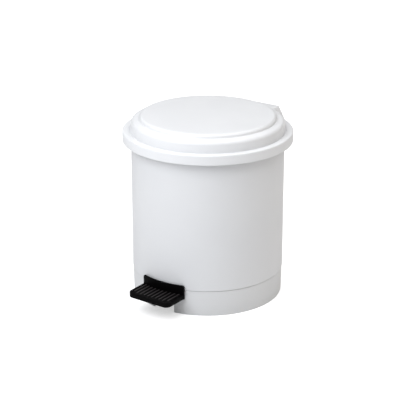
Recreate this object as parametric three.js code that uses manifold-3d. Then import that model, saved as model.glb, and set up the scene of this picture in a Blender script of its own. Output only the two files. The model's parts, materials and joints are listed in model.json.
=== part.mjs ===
// Pedal waste bin: a moulded casing on a base ring, a lift-out bucket, and a domed lid that a
// pedal opens through a rocking lever and a push rod. Millimetres, +Z up. The pedal faces -Y and
// the lid hinge is at +Y. Heights count from the floor; the casing's axis is x = 0, y = 0 until
// the last lines centre the whole bin on its own bounding box.
import * as THREE from "three";
import { mergeVertices } from "three/addons/utils/BufferGeometryUtils.js";
import Module from "manifold-3d";

const wasm = await Module();
wasm.setup();

// ---- Driving dimensions ----

// Clearances
const FIT = 0.3; // between pieces that touch or are pressed together
const RUN = 0.2; // radial, between a shaft and its bore
const FREE = 0.6; // between pieces that slide past one another

// Casing
const CASING_RADIUS = 105;
const CASING_WALL = 2.4;
const SEAM_HEIGHT = 36.3; // lower edge of the casing, on the base ring
const CASING_HEIGHT = 191.7; // from that edge to the rim
const FLOOR_RISE = 9.7; // from that edge to the underside of the casing's floor
const FLOOR_THICKNESS = 2.5;
const RIM_REACH = 4; // how far the casing's rim stands out of its wall
const RIM_DEPTH = 2.4;

// Base ring
const BASE_INSET = 1.2; // the ring's foot is this much smaller in radius than the casing
const SEAM_INSET = 0.6; // and its top this much
const SEAM_LINE = 0.7; // height of the groove between ring and casing
const BASE_WALL = 2.6;
const BASE_FOOT_WIDTH = 8; // flat annulus that the bin stands on
const SPIGOT_WALL = 1.4; // collar that enters the casing
const SPIGOT_GAP = 2.2; // from the collar up to the casing's floor
const BASE_SCREW_INSET = 7.1; // from the casing's bore to the screws between ring and floor
const BASE_BOSS_HEIGHT = 8; // boss on the base ring, below the floor
const BASE_SCREW_BITE = 2.5; // how far those screws stand out of the floor, and their bosses again
const ARM_SLOT_PLAY = 2.5; // at each side of the crank arm, where it passes through the casing

// Lid
const LID_WALL = 2.2;
const SKIRT_OVERHANG = 11.7; // skirt's outside, beyond the casing's wall
const SKIRT_DEPTH = 13.8;
const DOME_OVERHANG = 0.4; // foot of the domed wall, beyond the casing's wall
const SHOULDER_WIDTH = 12.2; // from the dome's foot in to the raised disc
const BRIM_EXTRA = 0.4; // the brim is this much thicker than the rest of the lid
const SHOULDER_RISE = 14.8; // from the brim to the shoulder ledge
const DISC_RISE = 6.6; // from the ledge to the middle of the disc
const SKIRT_CHAMFER = 1.2; // inside, under the brim

// Lid hinge
const HINGE_SETBACK = 11.5; // hinge pin, behind the casing's wall
const HINGE_DROP = 2; // and below the casing's rim
const HINGE_PIN_RADIUS = 2;
const KNUCKLE_WALL = 2.2;
const EAR_INNER = 18; // distance from the middle to the inner face of a bracket ear
const EAR_THICKNESS = 5;
const LID_OPENING_DEG = 70;
const PAD_THICKNESS = 2.2; // the bracket's pad, against the casing
const PAD_HEIGHT = 26;
const PAD_DROP = 14; // from the hinge pin to the pad's top
const PAD_MARGIN = 4; // beyond the ears, at each side
const BRACKET_SCREW_X = 11;
const BRACKET_SCREW_RISE = 11; // from the pad's lower edge
const BRACKET_SCREW_LENGTH = 8;
const CAP_ROOM = 3.7; // between the hinge pin's caps and the ends of the gap in the brim
const BRIM_GAP_SETBACK = 2.2; // from the dome's foot back to the gap in the brim

// Hinge cover
const COVER_WALL = 1.9;
const COVER_RISE = 9; // from the brim to the cover's top
const COVER_FLARE = 13.5; // each side is this much wider at the bottom than at the top
const COVER_GAP = 0.4; // behind the knuckles
const COVER_OVERLAP = 14; // how far the cover's front reaches in over the dome
const COVER_SCREW_MARGIN = 5; // from the gap in the brim to a cover screw
const COVER_SCREW_SHORT = 5.1; // from the cover's top down to that screw's tip
const BLOCK_SCREW_X = 6.2;
const BLOCK_SCREW_SETBACK = 1.5; // in front of the hinge pin
const BLOCK_PLATE_REACH = 6.5; // in front of the hinge pin
const BLOCK_PLATE_RISE = 7.5; // from the hinge pin to the plate under the cover
const BLOCK_PLATE_THICKNESS = 3;

// Push rod
const ROD_RADIUS = 1.75;
const ROD_GUIDE_WALL = 1.9;
const GUIDE_FLANGE = 1; // how far the lower guide's flange stands out
const GUIDE_FLANGE_GAP = 0.45; // between that flange and the casing's wall
const UPPER_GUIDE_DROP = 78; // from the casing's rim to the underside of the upper guide
const UPPER_GUIDE_HEIGHT = 9;
const CRANK_PIN_RADIUS = 1.5;
const CRANK_PIN_PLAY = 0.7; // between the crank pin and the slot it swings in
const ARM_THICKNESS = 5; // crank arm, across the bin
const HEAD_DROP = 8.2; // from the crank pin to the floor of the fork
const HEAD_BASE = 5; // height of the block below the fork
const CHEEK_THICKNESS = 3;
const CHEEK_WALL = 2; // round the slot
const CHEEK_PLAY = 0.5; // between a cheek and the crank arm
const CRANK_PIN_END = 0.8; // how far the crank pin stands out of the cheeks
const CRANK_EYE_WALL = 1.9; // round the crank pin
const FOOT_CAP_WALL = 1;
const FOOT_CAP_HEIGHT = 6;
const FOOT_CAP_END = 1.5;

// Pedal and lever
const PEDAL_PROJECTION = 35; // how far the tread stands out of the casing
const PEDAL_HALF_WIDTH = 34;
const PEDAL_CORNER = 8;
const TREAD_BOTTOM = 24;
const TREAD_THICKNESS = 7.5;
const TREAD_SKIN = 2.4;
const PLATE_RISE = 12.5; // from the tread to the top of the upright back plate
const PLATE_CORNER = 3;
const PLATE_GAP = 1.7; // between the back plate and the casing
const PEDAL_WALL = 2.2;
const RIB_COUNT = 10;
const RIB_WIDTH = 1.6;
const RIB_HEIGHT = 0.8;
const RIB_MARGIN = 4; // from the tread's wall to the first rib, and to the ribs' front ends
const RIB_CORNER_CUT = 3; // how much shorter the ribs are at the rounded corners
const RECESS_MARGIN = 1.6; // from the tread's wall to its recess
const LEVER_THICKNESS = 2.4;
const LEVER_WIDTH = 14;
const LEVER_TIP_DROP = 13.8; // rear end of the strip, below the axle
const OPENING_MARGIN = 10; // at each side of the lever, in the base ring
const PEDAL_SCREW_MARGIN_REAR = 8; // from the casing's wall
const PEDAL_SCREW_MARGIN_FRONT = 10; // from the tread's front edge
const AXLE_SETBACK = 57; // axle, behind the front of the casing
const AXLE_Z = 20;
const AXLE_RADIUS = 2.5;
const BARREL_WALL = 2.3;
const LUG_THICKNESS = 5;
const LUG_HALF_LENGTH = 11; // along the floor
const LUG_DROP = 7; // below the axle
const LUG_CHAMFER = 3;
const BARREL_OVERHANG = 4; // how far the barrel stands out of the lever at each side

// Bucket and bail
const BUCKET_GAP = 0.5; // between the bucket's lip and the rod's fork
const BUCKET_LIP = 3;
const BUCKET_LIP_DEPTH = 3.4;
const BUCKET_TAPER = 8.5; // how much smaller in radius the bucket is at its foot
const BUCKET_WALL = 1.8;
const BUCKET_FLOOR_EXTRA = 0.4; // the bucket's floor is this much thicker than its wall
const BUCKET_CHAMFER = 2; // round its foot
const BUCKET_DROP = 30; // from the casing's rim to the bucket's
const BAIL_DROP = 8; // from the bucket's rim to the bail's pivots
const BAIL_GAP = 5.3; // between the bucket's lip and the middle of the bail's wire
const BAIL_WIRE = 1.5; // radius of the wire
const GRIP_WALL = 1.5;
const GRIP_HALF_ANGLE_DEG = 18;

// Fasteners and shaft caps
const SCREW_RADIUS = 1.3;
const SCREW_HEAD_RADIUS = 2.3;
const SCREW_HEAD_HEIGHT = 1.8;
const SLOT_HALF_LENGTH = 1.8;
const SLOT_HALF_WIDTH = 0.35;
const SLOT_DEPTH = 0.8;
const BOSS_RADIUS = 3.4;
const SHAFT_OVERHANG = 3.2; // how far a shaft stands out of its outer bearing
const CAP_LENGTH = 4.3;
const CAP_WALL = 1.6;
const CAP_END = 1;
const BUMPER_RADIUS = 1.9;

// Facets round a full turn
const LARGE = 48;
const MEDIUM = 20;
const SMALL = 12;

// ---- Dimensions that follow from them ----

const CASING_BORE = CASING_RADIUS - CASING_WALL;
const CASING_TOP = SEAM_HEIGHT + CASING_HEIGHT;
const FLOOR_BOTTOM = SEAM_HEIGHT + FLOOR_RISE;
const FLOOR_TOP = FLOOR_BOTTOM + FLOOR_THICKNESS;
const SCREW_HOLE = SCREW_RADIUS + FIT;

// Screw heads under the brim just clear the casing's rim.
const BRIM_UNDERSIDE = CASING_TOP + SCREW_HEAD_HEIGHT + 2 * FIT;
const BRIM_TOP = BRIM_UNDERSIDE + LID_WALL + BRIM_EXTRA;
const SKIRT_RADIUS = CASING_RADIUS + SKIRT_OVERHANG;
const SKIRT_BOTTOM = BRIM_TOP - SKIRT_DEPTH;
const DOME_RADIUS = CASING_RADIUS + DOME_OVERHANG;
const CROWN_RADIUS = DOME_RADIUS - SHOULDER_WIDTH;
const CROWN_RISE = SHOULDER_RISE + DISC_RISE;

const HINGE_Y = CASING_RADIUS + HINGE_SETBACK;
const HINGE_Z = CASING_TOP - HINGE_DROP;
const KNUCKLE_RADIUS = HINGE_PIN_RADIUS + KNUCKLE_WALL;
const EAR_OUTER = EAR_INNER + EAR_THICKNESS;
const HINGE_GAP_HALF = EAR_OUTER + CAP_LENGTH + CAP_ROOM; // of the gap in the brim and the rim
const HINGE_GAP_FRONT = DOME_RADIUS + BRIM_GAP_SETBACK;
const PAD_TOP = HINGE_Z - PAD_DROP;
const PAD_BOTTOM = PAD_TOP - PAD_HEIGHT;
const BRACKET_SCREW_Z = PAD_BOTTOM + BRACKET_SCREW_RISE;

const COVER_BACK = HINGE_Y + KNUCKLE_RADIUS + COVER_GAP + COVER_WALL;
const COVER_TOP = BRIM_TOP + COVER_RISE;
const COVER_INNER_TOP = COVER_TOP - COVER_WALL;
const COVER_SCREW_X = HINGE_GAP_HALF + COVER_SCREW_MARGIN;
const COVER_SCREW_CIRCLE = SKIRT_RADIUS - LID_WALL - SKIRT_CHAMFER - SCREW_HEAD_RADIUS - 0.1;
const COVER_SCREW_Y = Math.sqrt(COVER_SCREW_CIRCLE ** 2 - COVER_SCREW_X ** 2);
const COVER_SCREW_TIP = COVER_TOP - COVER_SCREW_SHORT;
const COVER_TOP_HALF = COVER_SCREW_X + 0.5;
const COVER_FOOT_HALF = COVER_TOP_HALF + COVER_FLARE;
const BLOCK_SCREW_Y = HINGE_Y - BLOCK_SCREW_SETBACK;
const BLOCK_PLATE_BOTTOM = HINGE_Z + BLOCK_PLATE_RISE;
const BLOCK_PLATE_TOP = BLOCK_PLATE_BOTTOM + BLOCK_PLATE_THICKNESS;
const BLOCK_SCREW_TIP = COVER_INNER_TOP - 0.6;

// The crank pin swings from below the hinge's level to as far above it, through the nearest point.
const ROD_GUIDE_RADIUS = ROD_RADIUS + ROD_GUIDE_WALL;
const GUIDE_FLANGE_RADIUS = ROD_GUIDE_RADIUS + GUIDE_FLANGE;
const ROD_Y = CASING_BORE - GUIDE_FLANGE_RADIUS - GUIDE_FLANGE_GAP;
const CRANK_TILT = THREE.MathUtils.degToRad(LID_OPENING_DEG / 2); // below level when shut
const CRANK_RADIUS = (HINGE_Y - ROD_Y) / Math.cos(CRANK_TILT);
const CRANK_PIN_Z = HINGE_Z - CRANK_RADIUS * Math.sin(CRANK_TILT);
const SLOT_END = CRANK_PIN_RADIUS + CRANK_PIN_PLAY;
const SLOT_FRONT = HINGE_Y - CRANK_RADIUS - SLOT_END;
const SLOT_BACK = ROD_Y + SLOT_END;
const HEAD_FRONT = SLOT_FRONT - CHEEK_WALL;
const HEAD_FLOOR = CRANK_PIN_Z - HEAD_DROP;
const HEAD_BOTTOM = HEAD_FLOOR - HEAD_BASE;
const HEAD_HALF = ROD_GUIDE_RADIUS - 0.35; // of the block, from the rod's middle
const CHEEK_INNER = ARM_THICKNESS / 2 + CHEEK_PLAY;
const CHEEK_OUTER = CHEEK_INNER + CHEEK_THICKNESS;
const CHEEK_HALF_HEIGHT = SLOT_END + CHEEK_WALL;
const CRANK_PIN_HALF = CHEEK_OUTER + CRANK_PIN_END;
const UPPER_GUIDE_Z = CASING_TOP - UPPER_GUIDE_DROP;

const PEDAL_REACH = CASING_RADIUS + PEDAL_PROJECTION; // front edge, from the casing's axis
const TREAD_TOP = TREAD_BOTTOM + TREAD_THICKNESS;
const RECESS_FLOOR = TREAD_TOP - RIB_HEIGHT;
const PLATE_TOP = TREAD_TOP + PLATE_RISE;
const PLATE_INNER = CASING_RADIUS + PLATE_GAP;
const PEDAL_OPENING_HALF = LEVER_WIDTH / 2 + OPENING_MARGIN;
const PEDAL_OPENING_TOP = TREAD_TOP;
const PEDAL_SCREW_Y = [
  -CASING_RADIUS - PEDAL_SCREW_MARGIN_REAR,
  -PEDAL_REACH + PEDAL_SCREW_MARGIN_FRONT,
];
const PEDAL_SCREW_TIP = RECESS_FLOOR - 1.2;
const AXLE_Y = AXLE_SETBACK - CASING_RADIUS;
const BARREL_RADIUS = AXLE_RADIUS + BARREL_WALL;
const BARREL_HALF = LEVER_WIDTH / 2 + BARREL_OVERHANG;
const LUG_INNER = BARREL_HALF + FREE + FIT;
const AXLE_HALF = LUG_INNER + LUG_THICKNESS + SHAFT_OVERHANG;
const LEVER_FRONT_Z = TREAD_BOTTOM + 1.6; // middle of the strip under the tread
const LEVER_FRONT_TOP = LEVER_FRONT_Z + LEVER_THICKNESS / 2;
const LEVER_TIP_Z = AXLE_Z - LEVER_TIP_DROP;
const ROD_FOOT_Z = LEVER_TIP_Z + LEVER_THICKNESS / 2 + FREE + 0.2;
const ROD_BOTTOM = ROD_FOOT_Z + FOOT_CAP_END;

const BUCKET_RIM_RADIUS = HEAD_FRONT - BUCKET_GAP;
const BUCKET_MOUTH_RADIUS = BUCKET_RIM_RADIUS - BUCKET_LIP;
const BUCKET_FOOT_RADIUS = BUCKET_MOUTH_RADIUS - BUCKET_TAPER;
const BUCKET_FOOT = FLOOR_TOP + FIT;
const BUCKET_TOP = CASING_TOP - BUCKET_DROP;
const BAIL_Z = BUCKET_TOP - BAIL_DROP;
const BAIL_RADIUS = BUCKET_RIM_RADIUS + BAIL_GAP;
const GRIP_RADIUS = BAIL_WIRE + GRIP_WALL;

// ---- Shape helpers ----

const at = (x, y) => new THREE.Vector2(x, y);

// A closed mesh as a solid that can be joined and cut.
function solid(geometry) {
  const bare = geometry.clone();
  bare.deleteAttribute("normal");
  bare.deleteAttribute("uv");
  const merged = mergeVertices(bare, 1e-4);
  return new wasm.Manifold(
    new wasm.Mesh({
      numProp: 3,
      vertProperties: merged.attributes.position.array,
      triVerts: new Uint32Array(merged.index.array),
    }),
  );
}

const join = (first, ...others) => others.reduce((sum, next) => sum.add(next), first);
const cut = (first, ...others) => others.reduce((sum, next) => sum.subtract(next), first);

function geometryOf(body) {
  const mesh = body.getMesh();
  const geometry = new THREE.BufferGeometry();
  geometry.setAttribute("position", new THREE.BufferAttribute(mesh.vertProperties, 3));
  geometry.setIndex(new THREE.BufferAttribute(mesh.triVerts, 1));
  geometry.computeVertexNormals();
  return geometry;
}

// A profile of (radius, height) points turned about the Z axis.
function turned(profile, facets = LARGE) {
  const points = THREE.ShapeUtils.area(profile) > 0 ? [...profile] : [...profile].reverse();
  const onAxis = points.some((p) => p.x === 0);
  if (onAxis) {
    while (points[0].x !== 0 || points[points.length - 1].x !== 0) points.push(points.shift());
  } else {
    points.push(points[0].clone());
  }
  return solid(new THREE.LatheGeometry(points, facets).rotateX(Math.PI / 2));
}

// A band between two radii and two heights.
function ring(inner, outer, bottom, top, facets = LARGE) {
  return turned([at(inner, bottom), at(outer, bottom), at(outer, top), at(inner, top)], facets);
}

// An outline of (x, y) points, raised from one height to another.
function upright(outline, bottom, top) {
  const shape = outline instanceof THREE.Shape ? outline : new THREE.Shape(outline);
  const options = { depth: top - bottom, bevelEnabled: false, curveSegments: 6 };
  return solid(new THREE.ExtrudeGeometry(shape, options).translate(0, 0, bottom));
}

// An outline of (y, z) points, drawn across the bin from one x to another.
function across(outline, fromX, toX) {
  const shape = outline instanceof THREE.Shape ? outline : new THREE.Shape(outline);
  const options = { depth: toX - fromX, bevelEnabled: false, curveSegments: 6 };
  const geometry = new THREE.ExtrudeGeometry(shape, options).translate(0, 0, fromX);
  const turn = new THREE.Matrix4().makeBasis(
    new THREE.Vector3(0, 1, 0),
    new THREE.Vector3(0, 0, 1),
    new THREE.Vector3(1, 0, 0),
  );
  return solid(geometry.applyMatrix4(turn));
}

// An outline of (x, z) points, drawn towards +Y from one y to another.
function lengthwise(outline, fromY, toY) {
  const options = { depth: toY - fromY, bevelEnabled: false };
  const geometry = new THREE.ExtrudeGeometry(new THREE.Shape(outline), options);
  return solid(geometry.rotateX(Math.PI / 2).translate(0, toY, 0));
}

function box(x0, x1, y0, y1, z0, z1) {
  const geometry = new THREE.BoxGeometry(x1 - x0, y1 - y0, z1 - z0);
  return solid(geometry.translate((x0 + x1) / 2, (y0 + y1) / 2, (z0 + z1) / 2));
}

// A round bar across the bin, centred on (y, z).
function crossBar(radius, y, z, fromX, toX, facets = MEDIUM) {
  const geometry = new THREE.CylinderGeometry(radius, radius, toX - fromX, facets);
  return solid(geometry.rotateZ(Math.PI / 2).translate((fromX + toX) / 2, y, z));
}

// A round bar standing on (x, y).
function post(radius, x, y, bottom, top, facets = SMALL) {
  const geometry = new THREE.CylinderGeometry(radius, radius, top - bottom, facets);
  return solid(geometry.rotateX(Math.PI / 2).translate(x, y, (bottom + top) / 2));
}

// A pan-head screw that points up from under its seat.
function screwUp(x, y, seat, tip) {
  const head = post(SCREW_HEAD_RADIUS, x, y, seat - SCREW_HEAD_HEIGHT, seat);
  const slot = box(
    x - SLOT_HALF_LENGTH, x + SLOT_HALF_LENGTH, y - SLOT_HALF_WIDTH, y + SLOT_HALF_WIDTH,
    seat - SCREW_HEAD_HEIGHT - 1, seat - SCREW_HEAD_HEIGHT + SLOT_DEPTH,
  );
  return cut(join(head, post(SCREW_RADIUS, x, y, seat - 0.1, tip)), slot);
}

// Keeps a copy on the other side of the plane x = 0.
const mirrored = (body) => body.mirror([1, 0, 0]);

// ---- Materials ----

const whitePlastic = () =>
  new THREE.MeshStandardMaterial({ color: 0xe4e6e8, roughness: 0.38, metalness: 0 });
const blackPlastic = () =>
  new THREE.MeshStandardMaterial({ color: 0x0c0c0d, roughness: 0.55, metalness: 0 });
const greyPlastic = () =>
  new THREE.MeshStandardMaterial({ color: 0xb9bcbe, roughness: 0.45, metalness: 0 });
const steel = () =>
  new THREE.MeshStandardMaterial({ color: 0xb6b8ba, roughness: 0.32, metalness: 1 });
const rubber = () =>
  new THREE.MeshStandardMaterial({ color: 0x2a2a2b, roughness: 0.85, metalness: 0 });

const bin = new THREE.Group();

function add(name, body, material) {
  const mesh = new THREE.Mesh(geometryOf(body), material);
  mesh.name = name;
  bin.add(mesh);
}

// ---- Casing ----

// The four places, clear of the pedal and the rod, where screws hold the base ring to the floor.
const BASE_SCREW_CIRCLE = CASING_BORE - BASE_SCREW_INSET;
const baseScrewPlaces = [45, 135, 225, 315].map((degrees) => {
  const angle = THREE.MathUtils.degToRad(degrees);
  return at(BASE_SCREW_CIRCLE * Math.cos(angle), BASE_SCREW_CIRCLE * Math.sin(angle));
});
const BASE_SCREW_TIP = FLOOR_TOP + BASE_SCREW_BITE;

// One of the two lugs under the floor that carry the pedal's axle.
function axleLug() {
  const outline = [
    at(AXLE_Y - LUG_HALF_LENGTH, FLOOR_BOTTOM + 1),
    at(AXLE_Y - 2 * LUG_CHAMFER, AXLE_Z - LUG_DROP + 2),
    at(AXLE_Y - LUG_CHAMFER, AXLE_Z - LUG_DROP),
    at(AXLE_Y + LUG_CHAMFER, AXLE_Z - LUG_DROP),
    at(AXLE_Y + 2 * LUG_CHAMFER, AXLE_Z - LUG_DROP + 2),
    at(AXLE_Y + LUG_HALF_LENGTH, FLOOR_BOTTOM + 1),
  ];
  const bore = crossBar(AXLE_RADIUS + RUN, AXLE_Y, AXLE_Z, 0, AXLE_HALF);
  return cut(across(outline, LUG_INNER, LUG_INNER + LUG_THICKNESS), bore);
}

function casing() {
  const rim = CASING_RADIUS + RIM_REACH;
  const shell = turned([
    at(0, FLOOR_BOTTOM),
    at(CASING_BORE, FLOOR_BOTTOM),
    at(CASING_BORE, SEAM_HEIGHT),
    at(CASING_RADIUS, SEAM_HEIGHT),
    at(CASING_RADIUS, CASING_TOP - RIM_DEPTH),
    at(rim, CASING_TOP - RIM_DEPTH),
    at(rim, CASING_TOP),
    at(CASING_BORE, CASING_TOP),
    at(CASING_BORE, FLOOR_TOP),
    at(0, FLOOR_TOP),
  ]);
  const rearRim = cut(
    box(-HINGE_GAP_HALF, HINGE_GAP_HALF, 0, rim + 1, CASING_TOP - RIM_DEPTH - 1, CASING_TOP + 1),
    post(CASING_RADIUS, 0, 0, CASING_TOP - RIM_DEPTH - 2, CASING_TOP + 2, LARGE),
  );
  const armHalf = ARM_THICKNESS / 2 + ARM_SLOT_PLAY;
  const armSlot = box(-armHalf, armHalf, ROD_Y, rim, CRANK_PIN_Z - 5, CASING_TOP + 1);
  const rodHole = post(ROD_GUIDE_RADIUS + FIT, 0, ROD_Y, FLOOR_BOTTOM - 1, FLOOR_TOP + 1);
  const bosses = baseScrewPlaces.map((p) =>
    post(BOSS_RADIUS, p.x, p.y, FLOOR_TOP - 1, BASE_SCREW_TIP + BASE_SCREW_BITE),
  );
  const pilots = baseScrewPlaces.map((p) =>
    post(SCREW_HOLE, p.x, p.y, FLOOR_BOTTOM - 1, BASE_SCREW_TIP + FIT),
  );
  const bracketHoles = [-1, 1].map((side) => bracketScrewHole(side));
  const lug = axleLug();
  const whole = join(shell, lug, mirrored(lug), ...bosses);
  return cut(whole, rearRim, armSlot, rodHole, ...pilots, ...bracketHoles);
}

function baseRing() {
  const foot = CASING_RADIUS - BASE_INSET;
  const top = CASING_RADIUS - SEAM_INSET;
  const collar = CASING_BORE - FIT - 0.1;
  const ledge = SEAM_HEIGHT - SEAM_LINE;
  const collarTop = FLOOR_BOTTOM - SPIGOT_GAP;
  const shell = turned([
    at(foot - BASE_FOOT_WIDTH, 0),
    at(foot, 0),
    at(top, ledge),
    at(collar, ledge),
    at(collar, collarTop),
    at(collar - SPIGOT_WALL, collarTop),
    at(collar - SPIGOT_WALL, ledge - BASE_WALL),
    at(foot - BASE_WALL, BASE_WALL),
    at(foot - BASE_FOOT_WIDTH, BASE_WALL),
  ]);
  const bosses = baseScrewPlaces.map((p) => {
    const web = box(0, collar - SPIGOT_WALL + 0.5 - BASE_SCREW_CIRCLE, -1.2, 1.2, -6, 0);
    const boss = post(BOSS_RADIUS, 0, 0, -BASE_BOSS_HEIGHT, 0);
    const turn = (Math.atan2(p.y, p.x) * 180) / Math.PI;
    const placed = join(web, boss).rotate([0, 0, turn]);
    return placed.translate([p.x, p.y, FLOOR_BOTTOM - FIT]);
  });
  const holes = baseScrewPlaces.map((p) => post(SCREW_HOLE, p.x, p.y, SEAM_LINE, FLOOR_BOTTOM));
  const opening = box(
    -PEDAL_OPENING_HALF, PEDAL_OPENING_HALF, -CASING_RADIUS - 5, AXLE_Y - 12, -1, PEDAL_OPENING_TOP,
  );
  return cut(join(shell, ...bosses), opening, ...holes);
}

// ---- Hinge bracket, screwed to the back of the casing ----

// The hole through the casing and the pad for one bracket screw, which points outward.
function bracketScrewHole(side) {
  const geometry = new THREE.CylinderGeometry(SCREW_HOLE, SCREW_HOLE, 16, SMALL);
  const y = CASING_RADIUS;
  return solid(geometry.translate(side * BRACKET_SCREW_X, y, BRACKET_SCREW_Z));
}

function bracketScrew(side) {
  const x = side * BRACKET_SCREW_X;
  const wallY = Math.sqrt((CASING_RADIUS + FIT + PAD_THICKNESS) ** 2 - BRACKET_SCREW_X ** 2);
  const seat = wallY + FIT + 0.2;
  const length = BRACKET_SCREW_LENGTH;
  const head = new THREE.CylinderGeometry(
    SCREW_HEAD_RADIUS, SCREW_HEAD_RADIUS, SCREW_HEAD_HEIGHT, SMALL,
  );
  const shank = new THREE.CylinderGeometry(SCREW_RADIUS, SCREW_RADIUS, length, SMALL);
  return join(
    solid(head.translate(x, seat + SCREW_HEAD_HEIGHT / 2, BRACKET_SCREW_Z)),
    solid(shank.translate(x, seat + 0.1 - length / 2, BRACKET_SCREW_Z)),
  );
}

// One ear: a strip up the casing, and a neck that reaches back to the hinge pin.
function ear() {
  const wall = CASING_RADIUS - 1;
  const strip = CASING_RADIUS + 1.8;
  const outline = new THREE.Shape([
    at(wall, PAD_BOTTOM),
    at(strip, PAD_BOTTOM),
    at(strip, HINGE_Z - 10),
    at(HINGE_Y - 6, HINGE_Z - 5.6),
    at(HINGE_Y, HINGE_Z - KNUCKLE_RADIUS),
    at(HINGE_Y, HINGE_Z + KNUCKLE_RADIUS),
    at(HINGE_Y - 5, HINGE_Z + 3),
    at(wall, HINGE_Z + 1),
  ]);
  const boss = crossBar(KNUCKLE_RADIUS, HINGE_Y, HINGE_Z, EAR_INNER, EAR_OUTER);
  const bore = crossBar(HINGE_PIN_RADIUS + RUN, HINGE_Y, HINGE_Z, EAR_INNER - 1, EAR_OUTER + 1);
  return cut(join(across(outline, EAR_INNER, EAR_OUTER), boss), bore);
}

function hingeBracket() {
  const inner = CASING_RADIUS + FIT;
  const band = ring(inner, inner + PAD_THICKNESS, PAD_BOTTOM, PAD_TOP);
  const half = EAR_OUTER + PAD_MARGIN;
  const pad = band.intersect(box(-half, half, 0, CASING_RADIUS + 10, PAD_BOTTOM - 1, PAD_TOP + 1));
  const casingSpace = post(inner, 0, 0, PAD_BOTTOM - 5, HINGE_Z + 10, LARGE);
  const screwHoles = [-1, 1].map((side) => bracketScrewHole(side));
  return cut(join(pad, ear(), mirrored(ear())), casingSpace, ...screwHoles);
}

const hingePin = () =>
  crossBar(HINGE_PIN_RADIUS, HINGE_Y, HINGE_Z, -EAR_OUTER - SHAFT_OVERHANG, EAR_OUTER + SHAFT_OVERHANG);

// A push-on cap that keeps a shaft in its bores; it fits over the shaft's end.
function shaftCap(radius, y, z, fromX) {
  const cup = crossBar(radius + CAP_WALL, y, z, fromX, fromX + CAP_LENGTH);
  return cut(cup, crossBar(radius + RUN, y, z, fromX - 1, fromX + CAP_LENGTH - CAP_END));
}

// ---- Lid ----

// Outer outline of the lid from the skirt's lower edge to the middle of the crown.
function lidOutside(grow = 0) {
  const brim = BRIM_TOP + grow;
  const edge = SKIRT_RADIUS + grow;
  const dome = DOME_RADIUS + grow;
  const crown = CROWN_RADIUS + grow;
  return [
    at(edge, SKIRT_BOTTOM - grow),
    at(edge, brim - 1.8),
    at(edge - 0.5, brim - 0.6),
    at(edge - 1.8, brim),
    at(dome + 3.4, brim - 0.3),
    at(dome + 1.8, brim - 1.3),
    at(dome + 0.6, brim - 1),
    at(dome - 0.2, brim + 3),
    at(dome - 1, brim + SHOULDER_RISE * 0.58),
    at(dome - 2.3, brim + SHOULDER_RISE * 0.79),
    at(dome - 4.6, brim + SHOULDER_RISE * 0.94),
    at(dome - 7.6, brim + SHOULDER_RISE),
    at(crown + 1.3, brim + SHOULDER_RISE + 0.7),
    at(crown + 0.4, brim + SHOULDER_RISE + 1.6),
    at(crown, brim + CROWN_RISE - 2.6),
    at(crown - 1.6, brim + CROWN_RISE - 1),
    at(crown - 4.2, brim + CROWN_RISE - 0.4),
    at(0, brim + CROWN_RISE),
  ];
}

function lidInside() {
  return [
    at(0, BRIM_TOP + CROWN_RISE - LID_WALL),
    at(CROWN_RADIUS - 4.6, BRIM_TOP + CROWN_RISE - LID_WALL - 0.4),
    at(CROWN_RADIUS - 2.4, BRIM_TOP + CROWN_RISE - LID_WALL - 2),
    at(CROWN_RADIUS - 1.6, BRIM_TOP + SHOULDER_RISE - LID_WALL + 1.4),
    at(DOME_RADIUS - 8, BRIM_TOP + SHOULDER_RISE - LID_WALL),
    at(DOME_RADIUS - 5, BRIM_TOP + SHOULDER_RISE * 0.78),
    at(DOME_RADIUS - 3.3, BRIM_TOP + SHOULDER_RISE * 0.5),
    at(DOME_RADIUS - 2.4, BRIM_TOP + 1),
    at(DOME_RADIUS - 1.4, BRIM_UNDERSIDE),
    at(SKIRT_RADIUS - LID_WALL - SKIRT_CHAMFER, BRIM_UNDERSIDE),
    at(SKIRT_RADIUS - LID_WALL, BRIM_UNDERSIDE - SKIRT_CHAMFER),
    at(SKIRT_RADIUS - LID_WALL, SKIRT_BOTTOM),
  ];
}

function lidShell() {
  const shell = turned([...lidOutside(), ...lidInside()]);
  const hingeGap = box(
    -HINGE_GAP_HALF, HINGE_GAP_HALF, HINGE_GAP_FRONT, SKIRT_RADIUS + 5, SKIRT_BOTTOM - 5, BRIM_TOP + 5,
  );
  const holes = [-1, 1].map((side) =>
    post(SCREW_HOLE, side * COVER_SCREW_X, COVER_SCREW_Y, BRIM_UNDERSIDE - 2, BRIM_TOP + 2),
  );
  return cut(shell, hingeGap, ...holes);
}

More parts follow.
